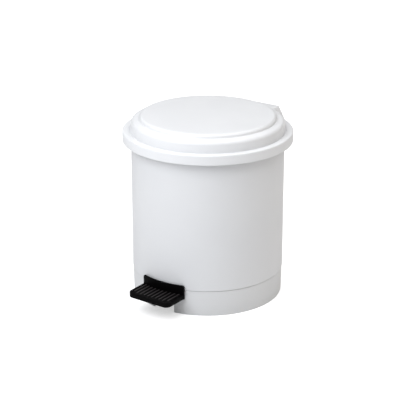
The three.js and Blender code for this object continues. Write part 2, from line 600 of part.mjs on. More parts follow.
// The box over the hinge: narrower at the top, open below, and shaped to the lid it stands on.
function hingeCover() {
  const trapezium = (inset, top, bottom) => [
    at(-COVER_FOOT_HALF + inset, bottom),
    at(COVER_FOOT_HALF - inset, bottom),
    at(COVER_TOP_HALF - inset, top),
    at(-COVER_TOP_HALF + inset, top),
  ];
  const front = DOME_RADIUS - COVER_OVERLAP;
  const outer = lengthwise(trapezium(0, COVER_TOP, SKIRT_BOTTOM), front, COVER_BACK);
  const hollow = lengthwise(
    trapezium(COVER_WALL, COVER_INNER_TOP, SKIRT_BOTTOM - 1), front - 1, COVER_BACK - COVER_WALL,
  );
  const screwPosts = [-1, 1].map((side) =>
    post(BOSS_RADIUS, side * COVER_SCREW_X, COVER_SCREW_Y, BRIM_TOP - 1, COVER_INNER_TOP + 0.5),
  );
  const blockPosts = [-1, 1].map((side) =>
    post(
      BOSS_RADIUS - 0.4, side * BLOCK_SCREW_X, BLOCK_SCREW_Y,
      BLOCK_PLATE_TOP + FIT, COVER_INNER_TOP + 0.5,
    ),
  );
  const lidSpace = turned([...lidOutside(FIT), at(0, SKIRT_BOTTOM - FIT)]);
  const pilots = [-1, 1].flatMap((side) => [
    post(SCREW_HOLE, side * COVER_SCREW_X, COVER_SCREW_Y, BRIM_TOP - 2, COVER_SCREW_TIP + FIT),
    post(SCREW_HOLE, side * BLOCK_SCREW_X, BLOCK_SCREW_Y, BLOCK_PLATE_TOP, BLOCK_SCREW_TIP + FIT),
  ]);
  const posts = join(...screwPosts, ...blockPosts).intersect(outer);
  return cut(join(cut(outer, hollow), posts), lidSpace, ...pilots);
}

// The block inside the cover: two knuckles on the hinge pin, and the crank arm between them.
function hingeBlock() {
  const knuckleOuter = EAR_INNER - FREE;
  const knuckleInner = BLOCK_SCREW_X + SCREW_HEAD_RADIUS + 1.5; // leaves the screw heads clear
  const back = HINGE_Y + KNUCKLE_RADIUS;
  const front = HINGE_Y - BLOCK_PLATE_REACH;
  const plate = box(
    -knuckleOuter, knuckleOuter, front, back, BLOCK_PLATE_BOTTOM, BLOCK_PLATE_TOP,
  );
  const stem = [
    at(HINGE_Y - KNUCKLE_RADIUS, HINGE_Z),
    at(back, HINGE_Z),
    at(back, BLOCK_PLATE_BOTTOM + 1),
    at(HINGE_Y - KNUCKLE_RADIUS, BLOCK_PLATE_BOTTOM + 1),
  ];
  const knuckle = join(
    across(stem, knuckleInner, knuckleOuter),
    crossBar(KNUCKLE_RADIUS, HINGE_Y, HINGE_Z, knuckleInner, knuckleOuter),
  );
  const half = ARM_THICKNESS / 2;
  const tip = CRANK_PIN_RADIUS + CRANK_EYE_WALL;
  const along = at(Math.cos(CRANK_TILT), Math.sin(CRANK_TILT)); // from the crank pin to the hinge
  const side = at(-along.y, along.x);
  const edge = (y, z, offset) => at(y + side.x * offset, z + side.y * offset);
  const arm = join(
    across(
      [
        edge(ROD_Y, CRANK_PIN_Z, -tip),
        edge(HINGE_Y, HINGE_Z, -tip),
        edge(HINGE_Y, HINGE_Z, tip),
        edge(ROD_Y, CRANK_PIN_Z, tip),
      ],
      -half, half,
    ),
    crossBar(tip, ROD_Y, CRANK_PIN_Z, -half, half),
    crossBar(KNUCKLE_RADIUS, HINGE_Y, HINGE_Z, -half, half),
    across(stem, -half, half),
  );
  const bores = [
    crossBar(HINGE_PIN_RADIUS + RUN, HINGE_Y, HINGE_Z, -EAR_INNER, EAR_INNER),
    crossBar(CRANK_PIN_RADIUS + RUN, ROD_Y, CRANK_PIN_Z, -EAR_INNER, EAR_INNER),
    ...[-1, 1].map((mirror) =>
      post(SCREW_HOLE, mirror * BLOCK_SCREW_X, BLOCK_SCREW_Y, HINGE_Z, COVER_TOP),
    ),
  ];
  return cut(join(plate, knuckle, mirrored(knuckle), arm), ...bores);
}

const crankPin = () =>
  crossBar(CRANK_PIN_RADIUS, ROD_Y, CRANK_PIN_Z, -CRANK_PIN_HALF, CRANK_PIN_HALF, SMALL);

// Rubber pads under the brim, which land on the casing's rim.
function lidBumper(degrees) {
  const angle = THREE.MathUtils.degToRad(degrees);
  const radius = CASING_RADIUS + RIM_REACH / 2;
  const x = radius * Math.cos(angle);
  const y = radius * Math.sin(angle);
  return post(BUMPER_RADIUS, x, y, CASING_TOP + FIT, BRIM_UNDERSIDE - FIT);
}

// ---- Push rod ----

// The fork on top of the rod. Its slot lets the crank pin swing in and out as the lid turns.
function rodHead() {
  const neck = CRANK_PIN_Z - CHEEK_HALF_HEIGHT - 0.5;
  const cheek = across(
    [
      at(ROD_Y - HEAD_HALF, HEAD_BOTTOM),
      at(ROD_Y + HEAD_HALF, HEAD_BOTTOM),
      at(ROD_Y + HEAD_HALF, neck),
      at(SLOT_BACK + CHEEK_WALL, CRANK_PIN_Z - CHEEK_HALF_HEIGHT),
      at(SLOT_BACK + CHEEK_WALL, CRANK_PIN_Z + CHEEK_HALF_HEIGHT),
      at(HEAD_FRONT, CRANK_PIN_Z + CHEEK_HALF_HEIGHT),
      at(HEAD_FRONT, CRANK_PIN_Z - CHEEK_HALF_HEIGHT),
      at(ROD_Y - HEAD_HALF, neck),
    ],
    CHEEK_INNER, CHEEK_OUTER,
  );
  const base = box(
    -CHEEK_OUTER, CHEEK_OUTER, ROD_Y - HEAD_HALF, ROD_Y + HEAD_HALF, HEAD_BOTTOM, HEAD_FLOOR,
  );
  const slot = box(
    -CHEEK_OUTER - 1, CHEEK_OUTER + 1, SLOT_FRONT, SLOT_BACK,
    CRANK_PIN_Z - SLOT_END, CRANK_PIN_Z + SLOT_END,
  );
  const socket = post(ROD_RADIUS + FIT, 0, ROD_Y, HEAD_BOTTOM - 1, HEAD_FLOOR - 0.8);
  return cut(join(base, cheek, mirrored(cheek)), slot, socket);
}

const pushRod = () => post(ROD_RADIUS, 0, ROD_Y, ROD_BOTTOM, HEAD_FLOOR - 1.1);

// The cap that rests on the lever.
function rodFoot() {
  const top = ROD_FOOT_Z + FOOT_CAP_HEIGHT;
  const cap = post(ROD_RADIUS + FOOT_CAP_WALL, 0, ROD_Y, ROD_FOOT_Z, top);
  return cut(cap, post(ROD_RADIUS + RUN, 0, ROD_Y, ROD_BOTTOM - FIT, top + 1));
}

// A flanged bush in the floor.
function lowerGuide() {
  const bush = join(
    post(ROD_GUIDE_RADIUS, 0, ROD_Y, FLOOR_BOTTOM - 2, FLOOR_TOP + 1),
    post(GUIDE_FLANGE_RADIUS, 0, ROD_Y, FLOOR_TOP + FIT, FLOOR_TOP + 1.8),
  );
  return cut(bush, post(ROD_RADIUS + RUN, 0, ROD_Y, FLOOR_BOTTOM - 3, FLOOR_TOP + 3));
}

// A block on the casing's inner wall, with a hole for the rod.
function upperGuide() {
  const top = UPPER_GUIDE_Z + UPPER_GUIDE_HEIGHT;
  const half = CHEEK_OUTER + 1;
  const outline = box(-half, half, ROD_Y - ROD_RADIUS - 2.25, CASING_RADIUS, UPPER_GUIDE_Z, top);
  const within = post(CASING_BORE - FIT, 0, 0, UPPER_GUIDE_Z - 1, top + 1, LARGE);
  const hole = post(ROD_RADIUS + RUN, 0, ROD_Y, UPPER_GUIDE_Z - 1, top + 1);
  return cut(outline.intersect(within), hole);
}

// ---- Pedal ----

// The tread seen from above, with rounded front corners.
function treadOutline(inset) {
  const half = PEDAL_HALF_WIDTH - inset;
  const front = -PEDAL_REACH + inset;
  const back = -CASING_RADIUS + 8;
  const corner = PEDAL_CORNER - inset;
  const shape = new THREE.Shape();
  shape.moveTo(-half, back);
  shape.lineTo(-half, front + corner);
  shape.absarc(-half + corner, front + corner, corner, Math.PI, 1.5 * Math.PI, false);
  shape.absarc(half - corner, front + corner, corner, 1.5 * Math.PI, 2 * Math.PI, false);
  shape.lineTo(half, back);
  return shape;
}

// The upright back plate: a band round the casing, seen from the front as a rounded rectangle.
function backPlate() {
  const corner = PEDAL_HALF_WIDTH - PLATE_CORNER;
  const band = ring(PLATE_INNER, PLATE_INNER + PEDAL_WALL, TREAD_BOTTOM, PLATE_TOP);
  const face = [
    at(-PEDAL_HALF_WIDTH, TREAD_BOTTOM - 1),
    at(PEDAL_HALF_WIDTH, TREAD_BOTTOM - 1),
    at(PEDAL_HALF_WIDTH, PLATE_TOP - PLATE_CORNER),
    at(corner, PLATE_TOP),
    at(-corner, PLATE_TOP),
    at(-PEDAL_HALF_WIDTH, PLATE_TOP - PLATE_CORNER),
  ];
  return band.intersect(lengthwise(face, -PEDAL_REACH, AXLE_Y));
}

// Ribs along the tread, in its shallow recess; those at the rounded corners are shorter.
function treadRibs() {
  const pitch = (2 * (PEDAL_HALF_WIDTH - PEDAL_WALL - RIB_MARGIN)) / (RIB_COUNT - 1);
  const front = -PEDAL_REACH + PEDAL_WALL + RIB_MARGIN;
  return Array.from({ length: RIB_COUNT }, (_, i) => {
    const x = (i - (RIB_COUNT - 1) / 2) * pitch;
    const shortened = Math.abs(x) > PEDAL_HALF_WIDTH - PEDAL_CORNER ? RIB_CORNER_CUT : 0;
    return box(
      x - RIB_WIDTH / 2, x + RIB_WIDTH / 2, front + shortened, -PLATE_INNER,
      RECESS_FLOOR - 0.5, TREAD_TOP - 0.1,
    );
  });
}

function pedal() {
  const body = upright(treadOutline(0), TREAD_BOTTOM, TREAD_TOP);
  const hollow = upright(treadOutline(PEDAL_WALL), TREAD_BOTTOM - 1, RECESS_FLOOR - TREAD_SKIN);
  const recess = upright(treadOutline(PEDAL_WALL + RECESS_MARGIN), RECESS_FLOOR, TREAD_TOP + 1);
  const casingSpace = post(PLATE_INNER, 0, 0, 0, PLATE_TOP + 5, LARGE);
  const screwPosts = PEDAL_SCREW_Y.map((y) =>
    post(BOSS_RADIUS, 0, y, LEVER_FRONT_TOP + FIT, TREAD_TOP - TREAD_SKIN),
  );
  const pilots = PEDAL_SCREW_Y.map((y) =>
    post(SCREW_HOLE, 0, y, TREAD_BOTTOM, PEDAL_SCREW_TIP + FIT),
  );
  const leverHalf = LEVER_WIDTH / 2 + FREE;
  const leverSpace = box(
    -leverHalf, leverHalf, -CASING_RADIUS - 6, AXLE_Y, TREAD_BOTTOM - 1, LEVER_FRONT_TOP + FREE,
  );
  const moulding = cut(join(cut(body, hollow), ...screwPosts), recess);
  const whole = join(moulding, backPlate(), ...treadRibs());
  return cut(whole, casingSpace, leverSpace, ...pilots);
}

// The steel strip from the tread to the rod, on its barrel. The outline is its middle line.
function pedalLever() {
  const line = [
    at(-PEDAL_REACH + PEDAL_WALL + 1.5, LEVER_FRONT_Z),
    at(AXLE_Y - 14, LEVER_FRONT_Z),
    at(AXLE_Y, AXLE_Z + BARREL_RADIUS - 0.6),
    at(ROD_Y + ROD_RADIUS, LEVER_TIP_Z),
  ];
  const half = LEVER_THICKNESS / 2;
  const above = line.map((p) => at(p.x, p.y + half));
  const below = line.map((p) => at(p.x, p.y - half)).reverse();
  const strip = across([...above, ...below], -LEVER_WIDTH / 2, LEVER_WIDTH / 2);
  const barrel = crossBar(BARREL_RADIUS, AXLE_Y, AXLE_Z, -BARREL_HALF, BARREL_HALF);
  const bore = crossBar(AXLE_RADIUS + RUN, AXLE_Y, AXLE_Z, -BARREL_HALF - 1, BARREL_HALF + 1);
  const holes = PEDAL_SCREW_Y.map((y) => post(SCREW_HOLE, 0, y, 0, TREAD_TOP));
  return cut(join(strip, barrel), bore, ...holes);
}

const pedalAxle = () => crossBar(AXLE_RADIUS, AXLE_Y, AXLE_Z, -AXLE_HALF, AXLE_HALF);

// ---- Bucket ----

function innerBucket() {
  const floor = BUCKET_FOOT + BUCKET_WALL + BUCKET_FLOOR_EXTRA;
  const lip = BUCKET_TOP - BUCKET_LIP_DEPTH;
  const shell = turned([
    at(0, BUCKET_FOOT),
    at(BUCKET_FOOT_RADIUS - BUCKET_CHAMFER, BUCKET_FOOT),
    at(BUCKET_FOOT_RADIUS, BUCKET_FOOT + BUCKET_CHAMFER),
    at(BUCKET_MOUTH_RADIUS, lip),
    at(BUCKET_RIM_RADIUS, lip),
    at(BUCKET_RIM_RADIUS, BUCKET_TOP),
    at(BUCKET_MOUTH_RADIUS - BUCKET_WALL, BUCKET_TOP),
    at(BUCKET_FOOT_RADIUS - BUCKET_WALL, floor + 1.8),
    at(BUCKET_FOOT_RADIUS - BUCKET_WALL - BUCKET_CHAMFER, floor),
    at(0, floor),
  ]);
  const hole = crossBar(
    BAIL_WIRE + FIT, 0, BAIL_Z, -BUCKET_RIM_RADIUS - 5, BUCKET_RIM_RADIUS + 5, SMALL,
  );
  return cut(shell, hole);
}

// The bail's wire: a hooked end in each side of the bucket and a half circle in front of it.
class BailLine extends THREE.Curve {
  constructor(start, end) {
    super();
    this.start = start;
    this.end = end;
  }
  getPoint(t, target = new THREE.Vector3()) {
    const angle = THREE.MathUtils.degToRad(this.start + (this.end - this.start) * t);
    return target.set(BAIL_RADIUS * Math.cos(angle), BAIL_RADIUS * Math.sin(angle), 0);
  }
}

function round(radius, hole = 0, facets = 8) {
  const circle = (r) =>
    Array.from({ length: facets }, (_, i) => {
      const angle = (2 * Math.PI * i) / facets;
      return at(r * Math.cos(angle), r * Math.sin(angle));
    });
  const shape = new THREE.Shape(circle(radius));
  if (hole > 0) shape.holes.push(new THREE.Path(circle(hole).reverse()));
  return shape;
}

// How far the bail hangs below level, in degrees: until its grip meets the bucket's wall.
function bailDroop() {
  const step = 0.25;
  const slope = BUCKET_TAPER / (BUCKET_TOP - BUCKET_LIP_DEPTH - BUCKET_FOOT - BUCKET_CHAMFER);
  const isClear = (degrees) => {
    const angle = THREE.MathUtils.degToRad(degrees);
    const depth = BAIL_Z - BAIL_RADIUS * Math.sin(angle) - BUCKET_FOOT - BUCKET_CHAMFER;
    const wall = BUCKET_FOOT_RADIUS + slope * depth;
    return BAIL_RADIUS * Math.cos(angle) - GRIP_RADIUS - FREE > wall;
  };
  let degrees = 0;
  while (isClear(degrees + step)) degrees += step;
  return degrees;
}

const BAIL_DROOP_DEG = bailDroop();

// Sets a part of the bail at its hanging angle about the pivots.
function hung(body) {
  return body.rotate([BAIL_DROOP_DEG, 0, 0]).translate([0, 0, BAIL_Z]);
}

function bailHandle() {
  const hoop = new THREE.ExtrudeGeometry(round(BAIL_WIRE), {
    steps: 28, bevelEnabled: false, extrudePath: new BailLine(180, 360),
  });
  const reach = BUCKET_MOUTH_RADIUS - BUCKET_WALL - 2;
  const end = crossBar(BAIL_WIRE, 0, 0, reach, BAIL_RADIUS + BAIL_WIRE, 10);
  return hung(join(solid(hoop), end, mirrored(end)));
}

function bailGrip() {
  const line = new BailLine(270 - GRIP_HALF_ANGLE_DEG, 270 + GRIP_HALF_ANGLE_DEG);
  const sleeve = new THREE.ExtrudeGeometry(round(GRIP_RADIUS, BAIL_WIRE + FIT + 0.1, 12), {
    steps: 8, bevelEnabled: false, extrudePath: line,
  });
  return hung(solid(sleeve));
}

// ---- Assembly ----

add("outer_body", casing(), whitePlastic());
add("base_ring", baseRing(), whitePlastic());
baseScrewPlaces.forEach((p, i) => {
  const seat = FLOOR_BOTTOM - BASE_BOSS_HEIGHT - 2 * FIT;
  add(`base_screw_${i + 1}`, screwUp(p.x, p.y, seat, BASE_SCREW_TIP), steel());
});

add("hinge_bracket", hingeBracket(), greyPlastic());
add("bracket_screw_left", bracketScrew(-1), steel());
add("bracket_screw_right", bracketScrew(1), steel());
add("hinge_pin", hingePin(), steel());
const pinCap = shaftCap(HINGE_PIN_RADIUS, HINGE_Y, HINGE_Z, EAR_OUTER + FIT);
add("pin_cap_right", pinCap, greyPlastic());
add("pin_cap_left", mirrored(pinCap), greyPlastic());

add("lid_shell", lidShell(), whitePlastic());
add("hinge_cover", hingeCover(), whitePlastic());
add("lid_hinge_block", hingeBlock(), greyPlastic());
add("crank_pin", crankPin(), steel());
[-1, 1].forEach((side) => {
  const name = side < 0 ? "left" : "right";
  const coverSeat = BRIM_UNDERSIDE - FIT;
  const coverScrew = screwUp(side * COVER_SCREW_X, COVER_SCREW_Y, coverSeat, COVER_SCREW_TIP);
  add(`cover_screw_${name}`, coverScrew, steel());
  const blockSeat = BLOCK_PLATE_BOTTOM - FIT;
  const blockScrew = screwUp(side * BLOCK_SCREW_X, BLOCK_SCREW_Y, blockSeat, BLOCK_SCREW_TIP);
  add(`block_screw_${name}`, blockScrew, steel());
});
[150, 270, 30].forEach((degrees, i) => add(`lid_bumper_${i + 1}`, lidBumper(degrees), rubber()));

add("push_rod", pushRod(), steel());
add("rod_head", rodHead(), greyPlastic());
add("rod_foot", rodFoot(), greyPlastic());
add("rod_guide_lower", lowerGuide(), greyPlastic());
add("rod_guide_upper", upperGuide(), greyPlastic());

add("pedal", pedal(), blackPlastic());
add("pedal_lever", pedalLever(), steel());
add("pedal_axle", pedalAxle(), steel());
const axleCap = shaftCap(AXLE_RADIUS, AXLE_Y, AXLE_Z, AXLE_HALF - SHAFT_OVERHANG + FIT);
add("axle_cap_right", axleCap, blackPlastic());
add("axle_cap_left", mirrored(axleCap), blackPlastic());
PEDAL_SCREW_Y.forEach((y, i) => {
  const seat = LEVER_FRONT_Z - LEVER_THICKNESS / 2 - FIT;
  const name = i === 0 ? "rear" : "front";
  add(`pedal_screw_${name}`, screwUp(0, y, seat, PEDAL_SCREW_TIP), steel());
});

add("inner_bucket", innerBucket(), greyPlastic());
add("bail_handle", bailHandle(), steel());
add("bail_grip", bailGrip(), whitePlastic());

// The pedal reaches further forward than the cover reaches back, so the bin is centred here.
bin.position.y = (PEDAL_REACH - COVER_BACK) / 2;

export default bin;
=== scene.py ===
"""Pedal waste bin: the looks. Metres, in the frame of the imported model: the pedal faces -Y, the
lid hinge is at +Y and the floor is z = 0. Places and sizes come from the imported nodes' boxes."""

import json
import math

import bmesh
import bpy
from mathutils import Matrix, Vector


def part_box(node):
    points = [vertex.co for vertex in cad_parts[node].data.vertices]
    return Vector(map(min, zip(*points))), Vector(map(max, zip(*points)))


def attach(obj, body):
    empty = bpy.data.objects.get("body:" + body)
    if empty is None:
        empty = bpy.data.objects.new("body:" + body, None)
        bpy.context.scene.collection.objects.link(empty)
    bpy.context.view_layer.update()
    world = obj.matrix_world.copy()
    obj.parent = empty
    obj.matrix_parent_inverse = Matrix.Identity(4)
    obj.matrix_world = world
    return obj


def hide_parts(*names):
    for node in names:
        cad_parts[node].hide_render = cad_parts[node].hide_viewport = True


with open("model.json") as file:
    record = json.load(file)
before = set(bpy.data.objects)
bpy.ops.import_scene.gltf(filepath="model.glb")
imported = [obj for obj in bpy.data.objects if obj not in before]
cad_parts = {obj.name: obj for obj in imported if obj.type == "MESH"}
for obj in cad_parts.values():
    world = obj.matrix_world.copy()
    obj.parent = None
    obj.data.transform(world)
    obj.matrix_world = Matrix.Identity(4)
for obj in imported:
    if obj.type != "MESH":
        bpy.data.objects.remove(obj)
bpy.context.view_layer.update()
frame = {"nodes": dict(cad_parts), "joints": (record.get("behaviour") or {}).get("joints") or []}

MM = 0.001
SEED = 7  # moves every noise pattern
BEYOND = 0.2  # a cutter's end that lies past every surface

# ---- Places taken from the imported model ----

body_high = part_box("outer_body")[1]
ring_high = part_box("base_ring")[1]
cover_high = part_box("hinge_cover")[1]
lid_low, lid_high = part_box("lid_shell")
pedal_low, pedal_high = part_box("pedal")
bucket_low, bucket_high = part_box("inner_bucket")
bail_low, bail_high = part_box("bail_handle")

joints = {joint["name"]: joint for joint in frame["joints"]}
AXIS_Y = (bucket_low.y + bucket_high.y) / 2  # the casing's own axis
HINGE = Vector(joints["lid_open"]["pos_m"])
AXLE = Vector(joints["pedal_press"]["pos_m"])
BAIL_PIVOT = Vector(joints["bail_swing"]["pos_m"])
AXLE_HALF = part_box("pedal_axle")[1].x
ROD_Y = sum(p.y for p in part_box("push_rod")) / 2
BASE_SCREWS = [sum(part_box(f"base_screw_{i}"), Vector()) / 2 for i in range(1, 5)]

# Sizes that several pieces share
SCREW_HOLE = 1.6 * MM
BOSS_RADIUS = 3.4 * MM
WALL_FACETS = 256  # facets round the casing and ring
FINE_FACETS = 320  # facets round the lid and everything that follows it closely
SCREW_FACETS = 40


# ---- Camera ----

CAMERA_AZIMUTH = math.radians(35.3)
CAMERA_DISTANCE = 1.8186  # level distance from the casing's axis
CAMERA_HEIGHT = 0.8085
AIM_LEFT = 0.0107  # the camera aims this far to its left of the axis
AIM_HEIGHT = 0.1287
LENS_MM = 125.6


def add_camera():
    towards = Vector((math.sin(CAMERA_AZIMUTH), -math.cos(CAMERA_AZIMUTH), 0))
    left = Vector((-math.cos(CAMERA_AZIMUTH), -math.sin(CAMERA_AZIMUTH), 0))
    axis = Vector((0, AXIS_Y, 0))
    place = axis + towards * CAMERA_DISTANCE + Vector((0, 0, CAMERA_HEIGHT))
    aim = axis + left * AIM_LEFT + Vector((0, 0, AIM_HEIGHT))
    data = bpy.data.cameras.new("camera")
    data.lens = LENS_MM
    data.sensor_width = 36
    data.dof.use_dof = False
    data.clip_start = 0.05
    data.clip_end = 50
    camera = bpy.data.objects.new("camera", data)
    bpy.context.scene.collection.objects.link(camera)
    camera.location = place
    camera.rotation_mode = "QUATERNION"
    camera.rotation_quaternion = (aim - place).to_track_quat("-Z", "Y")
    bpy.context.scene.camera = camera


# ---- Mesh helpers ----


def mesh_object(name, verts, faces):
    """A new object from points and faces, with its faces turned outward."""
    data = bpy.data.meshes.new(name)
    data.from_pydata([tuple(v) for v in verts], [], faces)
    work = bmesh.new()
    work.from_mesh(data)
    bmesh.ops.remove_doubles(work, verts=work.verts, dist=1e-7)
    bmesh.ops.recalc_face_normals(work, faces=work.faces)
    work.to_mesh(data)
    work.free()
    made = bpy.data.objects.new(name, data)
    bpy.context.scene.collection.objects.link(made)
    return made


def filleted(corners, steps=6):
    """The points of a closed outline of (x, y, fillet radius) corners."""
    points = []
    for i, (x, y, radius) in enumerate(corners):
        here = Vector((x, y))
        before = Vector(corners[i - 1][:2]) - here
        after = Vector(corners[(i + 1) % len(corners)][:2]) - here
        turn = before.angle(after) if before.length and after.length else math.pi
        if radius <= 0 or turn > math.pi - 1e-3:
            points.append(here)
            continue
        reach = min(radius / math.tan(turn / 2), 0.49 * before.length, 0.49 * after.length)
        radius = reach * math.tan(turn / 2)
        middle = here + (before.normalized() + after.normalized()).normalized() * (
            radius / math.sin(turn / 2)
        )
        start = here + before.normalized() * reach - middle
        end = here + after.normalized() * reach - middle
        sweep = start.angle_signed(end)
        for k in range(steps + 1):
            a = -sweep * k / steps
            points.append(
                middle
                + Vector(
                    (
                        start.x * math.cos(a) - start.y * math.sin(a),
                        start.x * math.sin(a) + start.y * math.cos(a),
                    )
                )
            )
    return points


def turned(name, profile, facets=192, centre=(0.0, 0.0)):
    """A closed outline of (radius, height) points turned about an upright line."""
    verts, faces = [], []
    count = len(profile)
    for i in range(facets):
        a = 2 * math.pi * i / facets
        for r, z in profile:
            verts.append((centre[0] + r * math.cos(a), centre[1] + r * math.sin(a), z))
    for i in range(facets):
        j = (i + 1) % facets
        for k in range(count):
            m = (k + 1) % count
            if profile[k][0] == 0 and profile[m][0] == 0:
                continue
            faces.append((i * count + k, j * count + k, j * count + m, i * count + m))
    return mesh_object(name, verts, faces)


def prism(name, outline, low, high, axes="xyz"):
    """An outline raised along the last of its three axes: "xyz" stands up, "yzx" lies across."""
    order = ["xyz".index(a) for a in axes]
    verts = []
    for level in (low, high):
        for p in outline:
            point = [0.0, 0.0, 0.0]
            point[order[0]], point[order[1]], point[order[2]] = p[0], p[1], level
            verts.append(point)
    n = len(outline)
    faces = [tuple(range(n)), tuple(range(n, 2 * n))]
    faces += [(i, (i + 1) % n, n + (i + 1) % n, n + i) for i in range(n)]
    return mesh_object(name, verts, faces)


def swept(name, points, radius, sides=20, hollow=0.0):
    """A round bar, or a sleeve if hollow is its inner radius, along a line of points.
    radius is a number or a function of the share of the way along."""
    size = radius if callable(radius) else (lambda share: radius)
    verts, faces, loops = [], [], []
    count = len(points)
    for skin in ("outer", "inner") if hollow else ("outer",):
        side = None
        rows = []
        for i, p in enumerate(points):
            ahead = (points[min(i + 1, count - 1)] - points[max(i - 1, 0)]).normalized()
            if side is None:
                side = ahead.orthogonal().normalized()
            side = (side - ahead * side.dot(ahead)).normalized()
            up = ahead.cross(side)
            r = size(i / (count - 1)) if skin == "outer" else hollow
            row = []
            for k in range(sides):
                a = 2 * math.pi * k / sides
                row.append(len(verts))
                verts.append(p + side * (r * math.cos(a)) + up * (r * math.sin(a)))
            rows.append(row)
        for a, b in zip(rows, rows[1:]):
            faces += [(a[k], a[(k + 1) % sides], b[(k + 1) % sides], b[k]) for k in range(sides)]
        loops.append((rows[0], rows[-1]))
    for end in (0, 1):
        if hollow:
            outer, inner = loops[0][end], loops[1][end]
            faces += [
                (outer[k], outer[(k + 1) % sides], inner[(k + 1) % sides], inner[k])
                for k in range(sides)
            ]
        else:
            faces.append(tuple(loops[0][end]))
    return mesh_object(name, verts, faces)


def circle(radius, x, y, facets=48):
    angles = [2 * math.pi * k / facets for k in range(facets)]
    return [(x + radius * math.cos(a), y + radius * math.sin(a)) for a in angles]


def settle(obj):
    """Writes an object's modifiers into its mesh."""
    graph = bpy.context.evaluated_depsgraph_get()
    bpy.context.view_layer.update()
    data = bpy.data.meshes.new_from_object(obj.evaluated_get(graph))
    obj.modifiers.clear()
    obj.data = data
    return obj


def combine(obj, others, how):
    """Cuts an object by others, joins them to it or keeps what they share, and uses them up."""
    for other in others:
        step = obj.modifiers.new(how, "BOOLEAN")
        step.operation = how
        step.object = other
        step.solver = "EXACT"
        settle(obj)
        bpy.data.objects.remove(other)
    return obj


def cut(obj, *others):
    return combine(obj, others, "DIFFERENCE")


def join(obj, *others):
    return combine(obj, others, "UNION")


def eased(obj, width, steps=3, angle=40):
    """Rounds an object's edges."""
    bevel = obj.modifiers.new("eased", "BEVEL")
    bevel.width = width
    bevel.segments = steps
    bevel.limit_method = "ANGLE"
    bevel.angle_limit = math.radians(angle)
    bevel.use_clamp_overlap = True
    return settle(obj)


def smoothed(obj, angle=32):
    """Shades an object smooth, but for edges that turn by more than an angle in degrees."""
    for face in obj.data.polygons:
        face.use_smooth = True
    obj.data.set_sharp_from_angle(angle=math.radians(angle))
    return obj


def cylinder(radius, x, y, low, high, facets=48):
    outline = [(0, low), (radius, low), (radius, high), (0, high)]
    return turned("cutter", outline, facets, (x, y))


def cuboid(x0, x1, y0, y1, z0, z1):
    return prism("cutter", [(x0, y0), (x1, y0), (x1, y1), (x0, y1)], z0, z1)


def placed(obj, body, material, slot, *nodes):
    """Gives a finished piece its material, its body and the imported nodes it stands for."""
    obj.data.materials.clear()
    obj.data.materials.append(material)
    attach(obj, body)
    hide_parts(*nodes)
    return obj


# ---- Materials ----


class Shader:
    """A node material with short calls for the nodes that the finishes share."""

    def __init__(self, name):
        self.material = bpy.data.materials.new(name)
        self.material.use_nodes = True
        self.nodes = self.material.node_tree.nodes
        self.links = self.material.node_tree.links
        self.surface = self.nodes["Principled BSDF"]
        self.place = self.nodes.new("ShaderNodeTexCoord").outputs["Object"]

    def noise(self, scale, detail=4.0, stretch=(1, 1, 1)):
        mapping = self.nodes.new("ShaderNodeMapping")
        mapping.inputs["Scale"].default_value = stretch
        mapping.inputs["Location"].default_value = (SEED * 0.37, SEED * 0.21, SEED * 0.13)
        self.links.new(self.place, mapping.inputs["Vector"])
        noise = self.nodes.new("ShaderNodeTexNoise")
        noise.inputs["Scale"].default_value = scale
        noise.inputs["Detail"].default_value = detail
        self.links.new(mapping.outputs["Vector"], noise.inputs["Vector"])
        return noise.outputs["Fac"]

    def ramp(self, value, low, high, start, end):
        node = self.nodes.new("ShaderNodeMapRange")
        node.inputs["From Min"].default_value = low
        node.inputs["From Max"].default_value = high
        node.inputs["To Min"].default_value = start
        node.inputs["To Max"].default_value = end
        self.links.new(value, node.inputs["Value"])
        return node.outputs["Result"]

    def mix(self, share, first, second):
        node = self.nodes.new("ShaderNodeMix")
        node.data_type = "RGBA"
        colours = [s for s in node.inputs if s.type == "RGBA"]
        for socket, value in zip(colours, (first, second)):
            if isinstance(value, tuple):
                socket.default_value = (*value, 1)
            else:
                self.links.new(value, socket)
        self.links.new(share, node.inputs["Factor"])
        return [s for s in node.outputs if s.type == "RGBA"][0]

    def add(self, first, second, how="ADD"):
        node = self.nodes.new("ShaderNodeMath")
        node.operation = how
        self.links.new(first, node.inputs[0])
        if isinstance(second, (int, float)):
            node.inputs[1].default_value = second
        else:
            self.links.new(second, node.inputs[1])
        return node.outputs[0]

    def bump(self, height, depth, strength=1.0):
        node = self.nodes.new("ShaderNodeBump")
        node.inputs["Strength"].default_value = strength
        node.inputs["Distance"].default_value = depth
        self.links.new(height, node.inputs["Height"])
        self.links.new(node.outputs["Normal"], self.surface.inputs["Normal"])

    def edges(self, low, high):
        """How sharply a surface turns outward, from 0 on a flat to 1 on a sharp outward edge."""
        point = self.nodes.new("ShaderNodeNewGeometry").outputs["Pointiness"]
        return self.ramp(point, low, high, 0, 1)

    def colour(self, value):
        self.links.new(value, self.surface.inputs["Base Color"])

    def roughness(self, value):
        self.links.new(value, self.surface.inputs["Roughness"])

    def set(self, **values):
        for name, value in values.items():
            self.surface.inputs[name.replace("_", " ")].default_value = value


